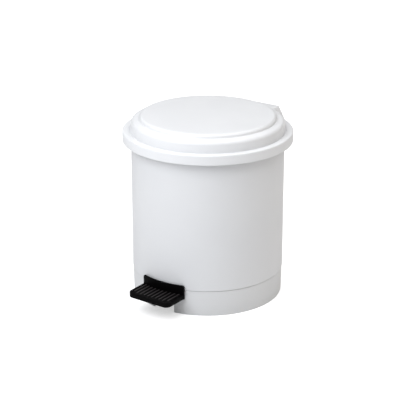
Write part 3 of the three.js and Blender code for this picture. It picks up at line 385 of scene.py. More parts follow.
def moulded(name, light, dark, rough, grain_depth, grain_scale=900, edge_wear_and_highlight=None, shine=0.5):
    """Injection-moulded plastic: clouded colour, fine grain and, if given, outward edges painted
    paler, part wear from use and part painted highlight.
    """
    s = Shader(name)
    clouds = s.noise(9, 3)
    specks = s.noise(420, 2)
    tone = s.mix(s.ramp(clouds, 0.3, 0.7, 0, 1), light, dark)
    faint = tuple(c * 0.97 for c in dark)
    tone = s.mix(s.ramp(specks, 0.62, 0.74, 0, 0.35), tone, faint)
    # outward edges painted paler: part wear, part painted highlight where edges catch the light
    if edge_wear_and_highlight:
        tone = s.mix(s.ramp(s.edges(0.52, 0.6), 0, 1, 0, 0.5), tone, edge_wear_and_highlight)
    s.colour(tone)
    scuffs = s.noise(38, 5, (1, 1, 0.35))
    s.roughness(s.ramp(scuffs, 0.25, 0.8, rough - 0.05, rough + 0.09))
    grain = s.add(s.noise(grain_scale, 3), s.add(s.noise(60, 2), 0.6, "MULTIPLY"))
    s.bump(grain, grain_depth)
    s.set(IOR=1.49, Specular_IOR_Level=shine)
    return s.material


def brushed_steel(name):
    """Zinc-plated steel with drawing lines along it and dull spots."""
    s = Shader(name)
    lines = s.noise(260, 4, (1, 0.06, 1))
    spots = s.noise(120, 5)
    tone = s.mix(s.ramp(spots, 0.4, 0.7, 0, 1), (0.58, 0.58, 0.57), (0.42, 0.42, 0.43))
    s.colour(tone)
    s.roughness(s.add(s.ramp(lines, 0.2, 0.8, 0.22, 0.4), s.ramp(spots, 0.5, 0.8, 0, 0.12)))
    s.bump(lines, 0.04 * MM)
    s.set(Metallic=1.0)
    return s.material


def rubber_material(name):
    """Matt dark rubber with a fine tooth."""
    s = Shader(name)
    tone = s.mix(s.noise(200, 4), (0.035, 0.035, 0.036), (0.06, 0.059, 0.057))
    s.colour(tone)
    s.roughness(s.ramp(s.noise(300, 3), 0.3, 0.7, 0.72, 0.9))
    s.bump(s.noise(1500, 3), 0.06 * MM)
    return s.material


SMOOTH_GRAIN = 0.012 * MM
COARSE_GRAIN = 0.03 * MM
BLACK_GRAIN_SCALE = 1400

white = moulded(
    "white_plastic", (0.686, 0.691, 0.704), (0.662, 0.669, 0.685), rough=0.42, grain_depth=SMOOTH_GRAIN
)
lid_white = moulded(
    "lid_plastic", (0.718, 0.724, 0.737), (0.695, 0.703, 0.719), rough=0.37, grain_depth=0.01 * MM
)
# a darker copy of the white plastic for the base ring: painted shade for its shading near the floor
ring_white_painted_shade = moulded(
    "ring_plastic_painted_shade", (0.645, 0.65, 0.658), (0.622, 0.628, 0.638), rough=0.42, grain_depth=SMOOTH_GRAIN
)
grip_white = moulded(
    "grip_plastic", (0.78, 0.79, 0.79), (0.74, 0.75, 0.75), rough=0.42, grain_depth=0.02 * MM
)
black = moulded(
    "black_plastic", (0.0022, 0.0019, 0.002), (0.0012, 0.001, 0.0011),
    rough=0.46, grain_depth=COARSE_GRAIN, grain_scale=BLACK_GRAIN_SCALE,
    # paler outward edges: part wear, part painted highlight
    edge_wear_and_highlight=(0.016, 0.0155, 0.0155), shine=0.035,
)
# a paler copy of the black plastic for the ribs: part wear, part painted highlight where the rib tops
# catch the light
rib_black_worn_and_highlit = moulded(
    "rib_plastic_worn_and_highlit", (0.046, 0.041, 0.042), (0.014, 0.012, 0.0125),
    rough=0.44, grain_depth=COARSE_GRAIN, grain_scale=BLACK_GRAIN_SCALE,
    edge_wear_and_highlight=(0.07, 0.065, 0.066), shine=0.1,
)
grey = moulded(
    "grey_plastic", (0.44, 0.45, 0.46), (0.38, 0.39, 0.4), rough=0.45, grain_depth=COARSE_GRAIN
)
bucket_grey = moulded(
    "bucket_plastic", (0.5, 0.51, 0.52), (0.45, 0.46, 0.47), rough=0.5, grain_depth=COARSE_GRAIN
)
steel = brushed_steel("steel")
rubber = rubber_material("rubber")


# ---- Casing and base ring ----

RADIUS = ring_high.x + 0.6 * MM  # outer radius of the casing's wall
WALL = 2.4 * MM
SEAM = 36.3 * MM
FLOOR = 46 * MM
FLOOR_TOP = 48.5 * MM
RIM_DEPTH = 2.4 * MM
RIM = body_high.x
TOP = body_high.z
BORE = RADIUS - WALL
HINGE_GAP = 31 * MM  # half-width of the gap in the brim and rim
BOSS_HEIGHT = 5 * MM  # of the screw bosses on the floor
PILOT_HEIGHT = 2.8 * MM  # of the screw holes above the floor
LUG_THICKNESS = 5 * MM
LUG_FOOT = 11 * MM  # half-length of an axle lug where it meets the floor
LUG_END = 6 * MM  # from the axle to the lug's end and its sides there
LUG_INSET = 3.2 * MM  # from the axle's end to the lug
AXLE_BORE = 2.7 * MM
AXLE_BORE_REACH = 30 * MM
ROD_HOLE = 3.9 * MM
ROD_SLOT = 5 * MM  # half-width of the slot that the rod's head passes
ROD_SLOT_DROP = 18.3 * MM  # from the hinge to the slot's lower end


def axle_lug(side):
    """One of the two plates under the floor that carry the pedal's axle."""
    start = AXLE_HALF - LUG_INSET - LUG_THICKNESS if side > 0 else LUG_INSET - AXLE_HALF
    outline = filleted(
        [
            (AXLE.y - LUG_FOOT, FLOOR + MM, 0),
            (AXLE.y - LUG_END, AXLE.z - LUG_END, 3 * MM),
            (AXLE.y + LUG_END, AXLE.z - LUG_END, 3 * MM),
            (AXLE.y + LUG_FOOT, FLOOR + MM, 0),
        ]
    )
    return eased(prism("lug", outline, start, start + LUG_THICKNESS, "yzx"), 0.4 * MM)


def casing_profile():
    return filleted(
        [
            (0, FLOOR, 0),
            (BORE, FLOOR, 0.6 * MM),
            (BORE, SEAM, 0.5 * MM),
            (RADIUS, SEAM, 0.7 * MM),
            (RADIUS, TOP - RIM_DEPTH, 1 * MM),
            (RIM, TOP - RIM_DEPTH, 0.6 * MM),
            (RIM, TOP, 0.8 * MM),
            (BORE, TOP, 0.8 * MM),
            (BORE, FLOOR_TOP, 1.5 * MM),
            (0, FLOOR_TOP, 0),
        ]
    )


def casing():
    shell = turned("casing_shell", casing_profile(), WALL_FACETS, (0, AXIS_Y))
    boss_top, pilot_top = FLOOR_TOP + BOSS_HEIGHT, FLOOR_TOP + PILOT_HEIGHT
    bosses = [cylinder(BOSS_RADIUS, p.x, p.y, FLOOR_TOP - MM, boss_top) for p in BASE_SCREWS]
    join(shell, axle_lug(-1), axle_lug(1), *bosses)
    rear_rim = cuboid(-HINGE_GAP, HINGE_GAP, AXIS_Y, BEYOND, TOP - RIM_DEPTH - MM, TOP + MM)
    cut(rear_rim, cylinder(RADIUS, 0, AXIS_Y, TOP - 10 * MM, TOP + 10 * MM, WALL_FACETS))
    slot = cuboid(-ROD_SLOT, ROD_SLOT, ROD_Y, BEYOND, HINGE.z - ROD_SLOT_DROP, TOP + MM)
    rod_hole = cylinder(ROD_HOLE, 0, ROD_Y, FLOOR - MM, FLOOR_TOP + MM)
    pilots = [cylinder(SCREW_HOLE, p.x, p.y, FLOOR - MM, pilot_top) for p in BASE_SCREWS]
    bore_outline = circle(AXLE_BORE, AXLE.y, AXLE.z)
    bore = prism("bore", bore_outline, -AXLE_BORE_REACH, AXLE_BORE_REACH, "yzx")
    cut(shell, rear_rim, slot, rod_hole, bore, *pilots)
    return placed(smoothed(shell), "casing", white, "white_plastic", "outer_body")


RING_FOOT = RADIUS - 1.2 * MM  # the ring's outer radius on the floor
RING_TOP = RADIUS - 0.6 * MM  # and at the seam
RING_WALL = 2.6 * MM
RING_FLANGE = 8 * MM  # how far the foot turns inward
LEDGE = SEAM - 0.35 * MM
COLLAR = BORE - 0.4 * MM  # the part that fits inside the casing
COLLAR_WALL = 1.4 * MM
COLLAR_TOP = ring_high.z - 1.9 * MM
RING_BOSS_TOP = FLOOR - 0.3 * MM
RING_BOSS_HEIGHT = 8 * MM
WEB_HALF = 1.2 * MM
WEB_DEPTH = 6 * MM
OPENING_HALF = 17 * MM  # the cut-away under the pedal
OPENING_TOP = 31.5 * MM


def ring_profile():
    return filleted(
        [
            (RING_FOOT - RING_FLANGE, 0, 0.3 * MM),
            (RING_FOOT, 0, 0.8 * MM),
            (RING_TOP, LEDGE, 0.6 * MM),
            (COLLAR, LEDGE, 0.3 * MM),
            (COLLAR, COLLAR_TOP, 0.4 * MM),
            (COLLAR - COLLAR_WALL, COLLAR_TOP, 0.4 * MM),
            (COLLAR - COLLAR_WALL, LEDGE - 2.4 * MM, 1 * MM),
            (RING_FOOT - RING_WALL, RING_WALL, 1 * MM),
            (RING_FOOT - RING_FLANGE, RING_WALL, 0.6 * MM),
        ]
    )


def ring_boss(place):
    """A screw boss with the web that ties it to the collar."""
    boss = cylinder(BOSS_RADIUS, place.x, place.y, RING_BOSS_TOP - RING_BOSS_HEIGHT, RING_BOSS_TOP)
    out = Vector((place.x, place.y - AXIS_Y))
    web = cuboid(0, COLLAR - 0.9 * MM - out.length, -WEB_HALF, WEB_HALF, -WEB_DEPTH, 0)
    turn = Matrix.Rotation(math.atan2(out.y, out.x), 4, "Z")
    web.data.transform(Matrix.Translation((place.x, place.y, RING_BOSS_TOP)) @ turn)
    return boss, web


def base_ring():
    shell = turned("base_ring_shell", ring_profile(), WALL_FACETS, (0, AXIS_Y))
    for place in BASE_SCREWS:
        join(shell, *ring_boss(place))
    opening = filleted(
        [
            (-OPENING_HALF, -MM, 0),
            (OPENING_HALF, -MM, 0),
            (OPENING_HALF, OPENING_TOP, 2 * MM),
            (-OPENING_HALF, OPENING_TOP, 2 * MM),
        ]
    )
    cutter = prism("opening", opening, -BEYOND, -60 * MM, "xzy")
    holes = [cylinder(SCREW_HOLE, p.x, p.y, 20 * MM, FLOOR) for p in BASE_SCREWS]
    cut(shell, cutter, *holes)
    return placed(smoothed(shell), "casing", ring_white_painted_shade, "white_plastic", "base_ring")


# ---- Lid ----

SKIRT = lid_high.x
SKIRT_BOTTOM = lid_low.z
CROWN = lid_high.z
BRIM = SKIRT_BOTTOM + 13.8 * MM
DOME = 105.4 * MM
CROWN_EDGE = 93.2 * MM
SHOULDER = BRIM + 14.8 * MM
LID_WALL = 2.2 * MM
LID_GAP_SETBACK = 2.2 * MM  # from the dome to the gap in the brim
DISC_RINGS = (0.9, 0.8, 0.7, 0.6, 0.5, 0.4, 0.3, 0.2, 0.1)  # shares of the disc's radius


def lid_outside(grow=0.0):
    """Corners of the lid's outer outline, from the skirt's lower edge to the middle."""
    g = grow
    return [
        (SKIRT + g, SKIRT_BOTTOM - g, 0.7 * MM),
        (SKIRT + g, BRIM + g, 1.9 * MM),
        (DOME + 2.6 * MM + g, BRIM - 0.3 * MM + g, 0.8 * MM),
        (DOME + 1.6 * MM + g, BRIM - 1.4 * MM + g, 0.5 * MM),
        (DOME + 0.5 * MM + g, BRIM - 1.4 * MM + g, 0.7 * MM),
        (DOME - 0.8 * MM + g, SHOULDER - 1.2 * MM + g, 6 * MM),
        (DOME - 9 * MM + g, SHOULDER + 0.2 * MM + g, 3 * MM),
        (CROWN_EDGE + 1.1 * MM + g, SHOULDER + 0.7 * MM + g, 1.3 * MM),
        (CROWN_EDGE + 0.2 * MM + g, CROWN - 3 * MM + g, 3.5 * MM),
        (CROWN_EDGE - 2.4 * MM + g, CROWN - 0.75 * MM + g, 5 * MM),
        *[(CROWN_EDGE * r, CROWN - 0.7 * MM * r * r + g, 0) for r in DISC_RINGS],
        (0, CROWN + g, 0),
    ]


def lid_inside():
    """Corners of the lid's inner outline, from the middle to the skirt's lower edge."""
    return [
        (0, CROWN - LID_WALL, 0),
        (CROWN_EDGE - 2.4 * MM, CROWN - LID_WALL - 0.6 * MM, 1.5 * MM),
        (CROWN_EDGE - 1.3 * MM, SHOULDER - LID_WALL + 0.8 * MM, 1.5 * MM),
        (DOME - 3.2 * MM, SHOULDER - LID_WALL - 1 * MM, 4 * MM),
        (DOME - 1.6 * MM, BRIM - LID_WALL - 0.4 * MM, 0.5 * MM),
        (SKIRT - LID_WALL, BRIM - LID_WALL - 0.4 * MM, 1 * MM),
        (SKIRT - LID_WALL, SKIRT_BOTTOM, 0.6 * MM),
    ]


def lid():
    profile = filleted(lid_outside() + lid_inside(), 8)
    shell = turned("lid_dome", profile, FINE_FACETS, (0, AXIS_Y))
    gap_front = AXIS_Y + DOME + LID_GAP_SETBACK
    above = BRIM + 4 * MM
    gap = cuboid(-HINGE_GAP, HINGE_GAP, gap_front, BEYOND, SKIRT_BOTTOM - 10 * MM, above)
    holes = []
    for name in ("left", "right"):
        low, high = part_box(f"cover_screw_{name}")
        middle = (low + high) / 2
        holes.append(cylinder(SCREW_HOLE, middle.x, middle.y, BRIM - 6 * MM, above))
    cut(shell, gap, *holes)
    return placed(smoothed(shell, 40), "lid", lid_white, "white_plastic", "lid_shell")


COVER_TOP_HALF = 36.5 * MM
COVER_WALL = 1.9 * MM
COVER_OVERLAP = 14 * MM  # how far the cover reaches in front of the dome's foot
COVER_FRONT = AXIS_Y + DOME - COVER_OVERLAP
COVER_BACK = cover_high.y
COVER_TOP = cover_high.z
COVER_INNER_TOP = COVER_TOP - COVER_WALL
BLOCK_POST_RADIUS = 3 * MM
BLOCK_POST_RISE = 10.8 * MM  # from the hinge to the hinge block's screw posts


def cover_outline(inset, top, bottom):
    """The cover from behind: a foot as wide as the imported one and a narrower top."""
    half_top = COVER_TOP_HALF - inset
    half_foot = cover_high.x - inset
    return [(-half_foot, bottom), (half_foot, bottom), (half_top, top), (-half_top, top)]


def cover_post(screw_name, radius, bottom):
    """A post inside the cover, kept within its slanted sides, and the hole for its screw."""
    low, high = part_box(screw_name)
    x, y = (low.x + high.x) / 2, (low.y + high.y) / 2
    post = cylinder(radius, x, y, bottom, COVER_INNER_TOP + 0.5 * MM)
    inside = cover_outline(0.5 * MM, COVER_TOP, SKIRT_BOTTOM)
    trim = prism("trim", inside, COVER_FRONT, COVER_BACK - 0.5 * MM, "xzy")
    hole = cylinder(SCREW_HOLE, x, y, bottom - MM, high.z + 0.3 * MM)
    return combine(post, [trim], "INTERSECT"), hole


def hinge_cover():
    outside = cover_outline(0, COVER_TOP, SKIRT_BOTTOM)
    shell = prism("hinge_cover_shell", outside, COVER_FRONT, COVER_BACK, "xzy")
    eased(shell, 1.6 * MM, 5)
    inside = cover_outline(COVER_WALL, COVER_INNER_TOP, SKIRT_BOTTOM - 3 * MM)
    cut(shell, prism("hollow", inside, COVER_FRONT - MM, COVER_BACK - COVER_WALL, "xzy"))
    for name, radius, bottom in (
        ("cover_screw_left", BOSS_RADIUS, BRIM - MM),
        ("cover_screw_right", BOSS_RADIUS, BRIM - MM),
        ("block_screw_left", BLOCK_POST_RADIUS, HINGE.z + BLOCK_POST_RISE),
        ("block_screw_right", BLOCK_POST_RADIUS, HINGE.z + BLOCK_POST_RISE),
    ):
        post, hole = cover_post(name, radius, bottom)
        join(shell, post)
        cut(shell, hole)
    space = filleted(lid_outside(0.3 * MM) + [(0, SKIRT_BOTTOM - 0.3 * MM, 0)], 8)
    cut(shell, turned("lid_space", space, FINE_FACETS, (0, AXIS_Y)))
    return placed(smoothed(shell, 30), "lid", lid_white, "white_plastic", "hinge_cover")


# ---- Pedal ----

PEDAL_HALF = pedal_high.x
PEDAL_FRONT = pedal_low.y
TREAD_BOTTOM = pedal_low.z
TREAD_TOP = TREAD_BOTTOM + 7.5 * MM
PLATE_TOP = pedal_high.z
PLATE_INNER = RADIUS + 1.7 * MM
PEDAL_WALL = 2.2 * MM
RIB_HEIGHT = 0.9 * MM
RIB_COUNT = 10
RIB_HALF = 0.8 * MM
RIB_SIDE_GAP = 4 * MM  # between the end ribs and the edge of the recess
RIB_FRONT_GAP = 3 * MM
RIB_CORNER_GAP = 6 * MM  # the end ribs stop short of the round corners
TREAD_CORNER = 8 * MM
TREAD_SKIN = 2.4 * MM
RECESS_FLOOR = TREAD_TOP - RIB_HEIGHT
RECESS_MARGIN = 0.6 * MM
PLATE_CORNER = 3 * MM
LEVER_SPACE = 7.6 * MM  # half-width of the room for the lever under the tread
LEVER_ROOM = 0.6 * MM  # above the lever


def tread_outline(inset):
    half = PEDAL_HALF - inset
    front = PEDAL_FRONT + inset
    back = AXIS_Y - RADIUS + 8 * MM
    bend = TREAD_CORNER - inset
    corners = [(-half, front, bend), (half, front, bend), (half, back, 0), (-half, back, 0)]
    return filleted(corners, 12)


def back_plate():
    """A band round the casing, seen from the front as a rounded rectangle."""
    outer = PLATE_INNER + PEDAL_WALL
    band = filleted(
        [
            (PLATE_INNER, TREAD_BOTTOM, 0.4 * MM),
            (outer, TREAD_BOTTOM, 0.4 * MM),
            (outer, PLATE_TOP, 1 * MM),
            (PLATE_INNER, PLATE_TOP, 0.8 * MM),
        ]
    )
    plate = turned("plate", band, FINE_FACETS, (0, AXIS_Y))
    face = filleted(
        [
            (-PEDAL_HALF, TREAD_BOTTOM - MM, 0),
            (PEDAL_HALF, TREAD_BOTTOM - MM, 0),
            (PEDAL_HALF, PLATE_TOP, PLATE_CORNER),
            (-PEDAL_HALF, PLATE_TOP, PLATE_CORNER),
        ],
        8,
    )
    front = prism("face", face, PEDAL_FRONT - 10 * MM, -60 * MM, "xzy")
    return combine(plate, [front], "INTERSECT")


def pedal():
    body = prism("pedal_tread", tread_outline(0), TREAD_BOTTOM, TREAD_TOP)
    eased(body, 1.1 * MM, 4)
    skin_bottom = RECESS_FLOOR - TREAD_SKIN
    under = prism("under", tread_outline(PEDAL_WALL), TREAD_BOTTOM - MM, skin_bottom)
    recess_outline = tread_outline(PEDAL_WALL + RECESS_MARGIN)
    cut(body, under, prism("recess", recess_outline, RECESS_FLOOR, TREAD_TOP + MM))
    join(body, back_plate())
    for name in ("rear", "front"):
        low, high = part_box(f"pedal_screw_{name}")
        y = (low.y + high.y) / 2
        join(body, cylinder(BOSS_RADIUS, 0, y, low.z + 5 * MM, TREAD_TOP - TREAD_SKIN))
        cut(body, cylinder(SCREW_HOLE, 0, y, low.z, high.z + 0.4 * MM))
    lever_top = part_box("pedal_lever")[1].z + LEVER_ROOM
    front, back = AXIS_Y - RADIUS - 6 * MM, -50 * MM
    space = cuboid(-LEVER_SPACE, LEVER_SPACE, front, back, TREAD_BOTTOM - MM, lever_top)
    cut(body, cylinder(PLATE_INNER, 0, AXIS_Y, 0, 60 * MM, FINE_FACETS), space)
    return placed(smoothed(body), "pedal", black, "black_plastic", "pedal")


def tread_rib(x, front):
    """A round-ended rib from its front end to the middle of the back plate's thickness."""
    back = AXIS_Y - math.sqrt((PLATE_INNER + 0.5 * PEDAL_WALL) ** 2 - x**2)
    outline = filleted(
        [
            (x - RIB_HALF, front, RIB_HALF),
            (x + RIB_HALF, front, RIB_HALF),
            (x + RIB_HALF, back, RIB_HALF),
            (x - RIB_HALF, back, RIB_HALF),
        ]
    )
    return prism("rib", outline, RECESS_FLOOR - 0.2 * MM, TREAD_TOP)


def pedal_ribs():
    """The tread's raised ribs, paler than the rest: part wear by shoes, part painted highlight on the
    lit rib tops.
    """
    reach = PEDAL_HALF - PEDAL_WALL - RIB_SIDE_GAP
    ribs = []
    for i in range(RIB_COUNT):
        gap = RIB_CORNER_GAP if i in (0, RIB_COUNT - 1) else RIB_FRONT_GAP
        x = reach * (2 * i / (RIB_COUNT - 1) - 1)
        ribs.append(tread_rib(x, PEDAL_FRONT + PEDAL_WALL + gap))
    verts, faces = [], []
    for rib in ribs:
        start = len(verts)
        verts += [v.co.copy() for v in rib.data.vertices]
        faces += [tuple(start + k for k in face.vertices) for face in rib.data.polygons]
        bpy.data.objects.remove(rib)
    made = eased(mesh_object("pedal_tread_ribs", verts, faces), 0.3 * MM, 3)
    return placed(smoothed(made), "pedal", rib_black_worn_and_highlit, "black_plastic", "pedal")


# ---- Bucket and bail ----


BUCKET_WALL = 1.8 * MM
BUCKET_FLOOR = 2.2 * MM
BUCKET_RIM_WIDTH = 3 * MM
BUCKET_RIM_DEPTH = 3.4 * MM
BUCKET_TAPER = 11.5 * MM  # from the rim's edge to the foot
BAIL_HOLE = 1.8 * MM


def bucket():
    rim = bucket_high.x
    mouth = rim - BUCKET_RIM_WIDTH
    foot = rim - BUCKET_TAPER
    low, top = bucket_low.z, bucket_high.z
    profile = filleted(
        [
            (0, low, 0),
            (foot, low, 3 * MM),
            (mouth, top - BUCKET_RIM_DEPTH, 0.8 * MM),
            (rim, top - BUCKET_RIM_DEPTH, 0.5 * MM),
            (rim, top, 1.2 * MM),
            (mouth - BUCKET_WALL, top, 0.8 * MM),
            (foot - BUCKET_WALL, low + BUCKET_FLOOR, 3 * MM),
            (0, low + BUCKET_FLOOR, 0),
        ]
    )
    shell = turned("bucket_shell", profile, centre=(0, AXIS_Y))
    hole_outline = circle(BAIL_HOLE, BAIL_PIVOT.y, BAIL_PIVOT.z)
    cut(shell, prism("hole", hole_outline, -BEYOND, BEYOND, "yzx"))
    return placed(smoothed(shell), "bucket", bucket_grey, "bucket_plastic", "inner_bucket")


BAIL_WIRE = 1.5 * MM  # the wire's radius
BAIL_END = 85 * MM  # from the middle to the wire's ends, inside the bucket
BAIL_END_STRAIGHT = 5 * MM  # the straight stretch through the bucket's wall
BAIL_BEND = math.radians(3.5)  # how much of the half circle each corner takes
BAIL_BEND_STEPS = 8
BAIL_STEPS = 96
BAIL_RADIUS = bail_high.x - BAIL_WIRE
DROOP = math.asin((BAIL_PIVOT.z - bail_low.z - BAIL_WIRE) / BAIL_RADIUS)


def bail_point(angle, radius=BAIL_RADIUS):
    """A point of the bail's half circle; 0 is its middle, in front."""
    x, out = radius * math.sin(angle), radius * math.cos(angle)
    return BAIL_PIVOT + Vector((x, -out * math.cos(DROOP), -out * math.sin(DROOP)))


def bail_arc(half, steps):
    """Points of the bail's half circle, evenly spaced within an angle either side of its middle."""
    return [bail_point(half * (2 * k / steps - 1)) for k in range(steps + 1)]


def bail():
    arc = bail_arc(math.pi / 2 - BAIL_BEND, BAIL_STEPS)
    tip = BAIL_PIVOT + Vector((-BAIL_END, 0, 0))
    corner_in = BAIL_PIVOT + Vector((-BAIL_END - BAIL_END_STRAIGHT, 0, 0))
    knee = BAIL_PIVOT + Vector((-BAIL_RADIUS, 0, 0))
    left_end = [tip, corner_in]
    for k in range(1, BAIL_BEND_STEPS + 1):
        t = k / (BAIL_BEND_STEPS + 1)
        left_end.append(corner_in * (1 - t) ** 2 + knee * 2 * t * (1 - t) + arc[0] * t * t)
    right_end = [Vector((-p.x, p.y, p.z)) for p in reversed(left_end)]
    wire = swept("bail_wire", left_end + arc + right_end, BAIL_WIRE, 16)
    return placed(smoothed(wire), "bail", steel, "steel", "bail_handle")


GRIP_RADIUS = 3 * MM
GRIP_BORE = 1.9 * MM
GRIP_HALF = math.radians(18)
GRIP_STEPS = 72
GRIP_GROOVE_STEPS = 6  # from one groove to the next


def grip_radius(share):
    """The grip's radius a share of the way along: rounded ends, and grooves between them."""
    end = min(share, 1 - share) * GRIP_STEPS
    rounding = 0.7 * MM * max(0.0, 1 - end / 2) ** 2
    in_groove = round(share * GRIP_STEPS) % GRIP_GROOVE_STEPS == GRIP_GROOVE_STEPS // 2
    groove = 0.25 * MM if in_groove and end > 4 else 0.0
    return GRIP_RADIUS - rounding - groove


def grip():
    points = bail_arc(GRIP_HALF, GRIP_STEPS)
    sleeve = swept("bail_sleeve", points, grip_radius, 32, hollow=GRIP_BORE)
    return placed(smoothed(sleeve, 45), "bail", grip_white, "white_plastic", "bail_grip")


# ---- Small parts ----


SHARPEST_KEPT = math.radians(38)  # edges that turn by less aren't rounded


def soften(node, width, material):
    """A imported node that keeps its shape, with rounded edges, smooth faces and a finish."""
    obj = frame["nodes"][node]
    obj.data.materials.clear()
    obj.data.materials.append(material)
    for face in obj.data.polygons:
        face.use_smooth = True
    weld = obj.modifiers.new("weld", "WELD")
    weld.merge_threshold = 1e-6
    flat = obj.modifiers.new("flat", "DECIMATE")
    flat.decimate_type = "DISSOLVE"
    flat.angle_limit = math.radians(1)
    bevel = obj.modifiers.new("eased", "BEVEL")
    bevel.width = width
    bevel.segments = 3
    bevel.limit_method = "ANGLE"
    bevel.angle_limit = SHARPEST_KEPT
    bevel.harden_normals = False


AXIS_TURN = {
    "z": Matrix.Identity(4),
    "x": Matrix.Rotation(math.radians(90), 4, "Y"),
    "y": Matrix.Rotation(math.radians(-90), 4, "X"),
}


def round_part(name, node, body, material, slot, axis, profile):
    """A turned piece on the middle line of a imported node. The profile's heights run along the
    axis from the middle of the node's box."""
    low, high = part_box(node)
    made = turned(name, filleted(profile), SCREW_FACETS)
    made.data.transform(Matrix.Translation((low + high) / 2) @ AXIS_TURN[axis])
    return placed(smoothed(made, 35), body, material, slot, node)


def shaft(node, body, axis):
    """A steel bar with eased ends."""
    low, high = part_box(node)
    size = high - low
    half = size["xyz".index(axis)] / 2
    radius = size["xyz".index("z" if axis != "z" else "x")] / 2
    edge = 0.35 * MM
    profile = [(0, -half, 0), (radius, -half, edge), (radius, half, edge), (0, half, 0)]
    return round_part(node + "_bar", node, body, steel, "steel", axis, profile)


HEAD_RADIUS = 2.3 * MM
HEAD_HEIGHT = 1.8 * MM
SHANK = 1.3 * MM
PITCH = 0.9 * MM
THREAD_DEPTH = 0.28 * MM
CROSS_LENGTH = 1.7 * MM  # half-length of a slot of the driver's cross
CROSS_WIDTH = 0.3 * MM  # half-width
CROSS_DEPTH = 0.9 * MM


def screw_profile(half):
    """Corners of a screw of twice that height, its head at the bottom."""
    seat = HEAD_HEIGHT - half
    corners = [(0, -half, 0), (HEAD_RADIUS * 0.8, -half, 1.2 * MM)]
    corners += [(HEAD_RADIUS, seat, 0.3 * MM), (SHANK, seat, 0.1 * MM)]
    z = seat + MM
    while z < half - 1.2 * MM:
        root = (SHANK - THREAD_DEPTH, z + PITCH * 0.35, 0)
        corners += [(SHANK, z, 0), root, (SHANK, z + PITCH * 0.7, 0)]
        z += PITCH
    return corners + [(SHANK, half - MM, 0), (0.3 * MM, half, 0.2 * MM), (0, half, 0)]


def screw(node, body, axis, facing):
    """A pan-head screw: the head is at the low end of its axis if facing is -1."""
    low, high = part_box(node)
    half = (high - low)["xyz".index(axis)] / 2
    corners = [(r, h * -facing, f) for r, h, f in screw_profile(half)]
    made = turned(node + "_turned", filleted(corners, 4), SCREW_FACETS)
    low_face = (half - CROSS_DEPTH) if facing > 0 else -half - MM
    for a, b in ((CROSS_LENGTH, CROSS_WIDTH), (CROSS_WIDTH, CROSS_LENGTH)):
        cut(made, cuboid(-a, a, -b, b, low_face, low_face + CROSS_DEPTH + MM))
    made.data.transform(Matrix.Translation((low + high) / 2) @ AXIS_TURN[axis])
    return placed(smoothed(made, 30), body, steel, "steel", node)


BUMPER_RADIUS = 1.9 * MM
BUMPER_HALF = 0.9 * MM
CAP_EDGE = 0.5 * MM
MOULDED_EDGE = 0.45 * MM
STRIP_EDGE = 0.4 * MM


def screws():
    for i in range(1, 5):
        screw(f"base_screw_{i}", "casing", "z", -1)
    for side in ("left", "right"):
        screw(f"bracket_screw_{side}", "casing", "y", 1)
        screw(f"cover_screw_{side}", "lid", "z", -1)
        screw(f"block_screw_{side}", "lid", "z", -1)
    for end in ("rear", "front"):
        screw(f"pedal_screw_{end}", "pedal", "z", -1)


def shafts():
    shaft("hinge_pin", "casing", "x")
    shaft("pedal_axle", "casing", "x")
    shaft("crank_pin", "lid", "x")
    shaft("push_rod", "push_rod", "z")


def bumpers():
    """The rubber pads under the brim, rounder at their lower edge."""
    profile = [
        (0, -BUMPER_HALF, 0),
        (BUMPER_RADIUS, -BUMPER_HALF, 0.5 * MM),
        (BUMPER_RADIUS, BUMPER_HALF, 0.1 * MM),
        (0, BUMPER_HALF, 0),
    ]
    for i in range(1, 4):
        round_part(f"bumper_{i}", f"lid_bumper_{i}", "lid", rubber, "rubber", "z", profile)


def softened_parts():
    for side in ("left", "right"):
        soften(f"pin_cap_{side}", CAP_EDGE, grey)
        soften(f"axle_cap_{side}", CAP_EDGE, black)
    for node in ("hinge_bracket", "lid_hinge_block", "rod_head", "rod_foot"):
        soften(node, MOULDED_EDGE, grey)
    for node in ("rod_guide_lower", "rod_guide_upper"):
        soften(node, MOULDED_EDGE, grey)
    soften("pedal_lever", STRIP_EDGE, steel)


# ---- Floor, lights and surroundings ----

FLOOR_HALF = 6
FLOOR_GLOW = 0.08  # what the floor adds to the light on the bin
FLOOR_GLOW_SEEN = 0.5  # what the camera sees
WORLD_LIGHT = 0.06
WORLD_SEEN = 0.9
LIT_HEIGHT = 0.13  # the lamps turn to this height on the casing's axis


def floor():
    """A wide pale sheet that glows faintly on the bin and more strongly in the picture, as a
    photographer's light table does."""
    half = FLOOR_HALF
    made = prism("floor", [(-half, -half), (half, -half), (half, half), (-half, half)], -20 * MM, 0)
    s = Shader("floor")
    s.colour(s.mix(s.noise(3, 2), (0.67, 0.67, 0.67), (0.69, 0.69, 0.69)))
    seen = s.nodes.new("ShaderNodeLightPath").outputs["Is Camera Ray"]
    glow = s.ramp(seen, 0, 1, FLOOR_GLOW, FLOOR_GLOW_SEEN)
    s.links.new(glow, s.surface.inputs["Emission Strength"])
    s.set(Roughness=0.95, Emission_Color=(1, 1, 1, 1), Specular_IOR_Level=0.0)
    made.data.materials.append(s.material)


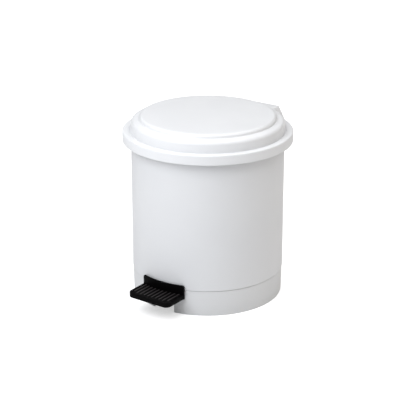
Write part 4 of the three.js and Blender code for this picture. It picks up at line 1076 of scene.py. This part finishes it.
def aimed(lamp_data, azimuth, elevation, distance):
    """Sets a lamp at angles in degrees round the bin, facing it; azimuth 0 is the camera's side."""
    a = CAMERA_AZIMUTH + math.radians(azimuth)
    e = math.radians(elevation)
    out = Vector((math.sin(a) * math.cos(e), -math.cos(a) * math.cos(e), math.sin(e)))
    lamp = bpy.data.objects.new(lamp_data.name, lamp_data)
    bpy.context.scene.collection.objects.link(lamp)
    lamp.location = Vector((0, AXIS_Y, LIT_HEIGHT)) + out * distance
    lamp.rotation_mode = "QUATERNION"
    lamp.rotation_quaternion = (-out).to_track_quat("-Z", "Y")


def soft_box(name, azimuth, elevation, distance, size, light, colour):
    """A square lamp; light is the share of white that it gives a white face turned to it."""
    data = bpy.data.lights.new(name, "AREA")
    data.shape = "SQUARE"
    data.size = size
    data.energy = light * (math.pi * distance) ** 2
    data.color = colour
    aimed(data, azimuth, elevation, distance)


def ceiling(light, spread):
    """An even overhead light from a wide disc, its spread in degrees."""
    data = bpy.data.lights.new("ceiling", "SUN")
    data.energy = light * math.pi
    data.angle = math.radians(spread)
    aimed(data, 0, 88, 3)


def surroundings():
    """Faint even light all round, shown pale behind the bin, with a ceiling and two lamps."""
    world = bpy.data.worlds.new("studio")
    world.use_nodes = True
    nodes, links = world.node_tree.nodes, world.node_tree.links
    background = nodes["Background"]
    background.inputs["Color"].default_value = (0.97, 0.985, 1.0, 1)
    seen = nodes.new("ShaderNodeLightPath").outputs["Is Camera Ray"]
    strength = nodes.new("ShaderNodeMapRange")
    strength.inputs["To Min"].default_value = WORLD_LIGHT
    strength.inputs["To Max"].default_value = WORLD_SEEN
    links.new(seen, strength.inputs["Value"])
    links.new(strength.outputs["Result"], background.inputs["Strength"])
    bpy.context.scene.world = world
    ceiling(1.0, 100)
    soft_box("key", -38, 37, 0.95, 0.65, 0.6, (0.94, 0.963, 1.0))
    soft_box("right", 80, 15, 1.4, 0.5, 0.1, (1.0, 0.84, 0.66))
    bpy.context.scene.view_settings.view_transform = "Standard"


add_camera()
casing()
base_ring()
lid()
hinge_cover()
pedal()
pedal_ribs()
bucket()
bail()
grip()
screws()
shafts()
bumpers()
softened_parts()
floor()
surroundings()
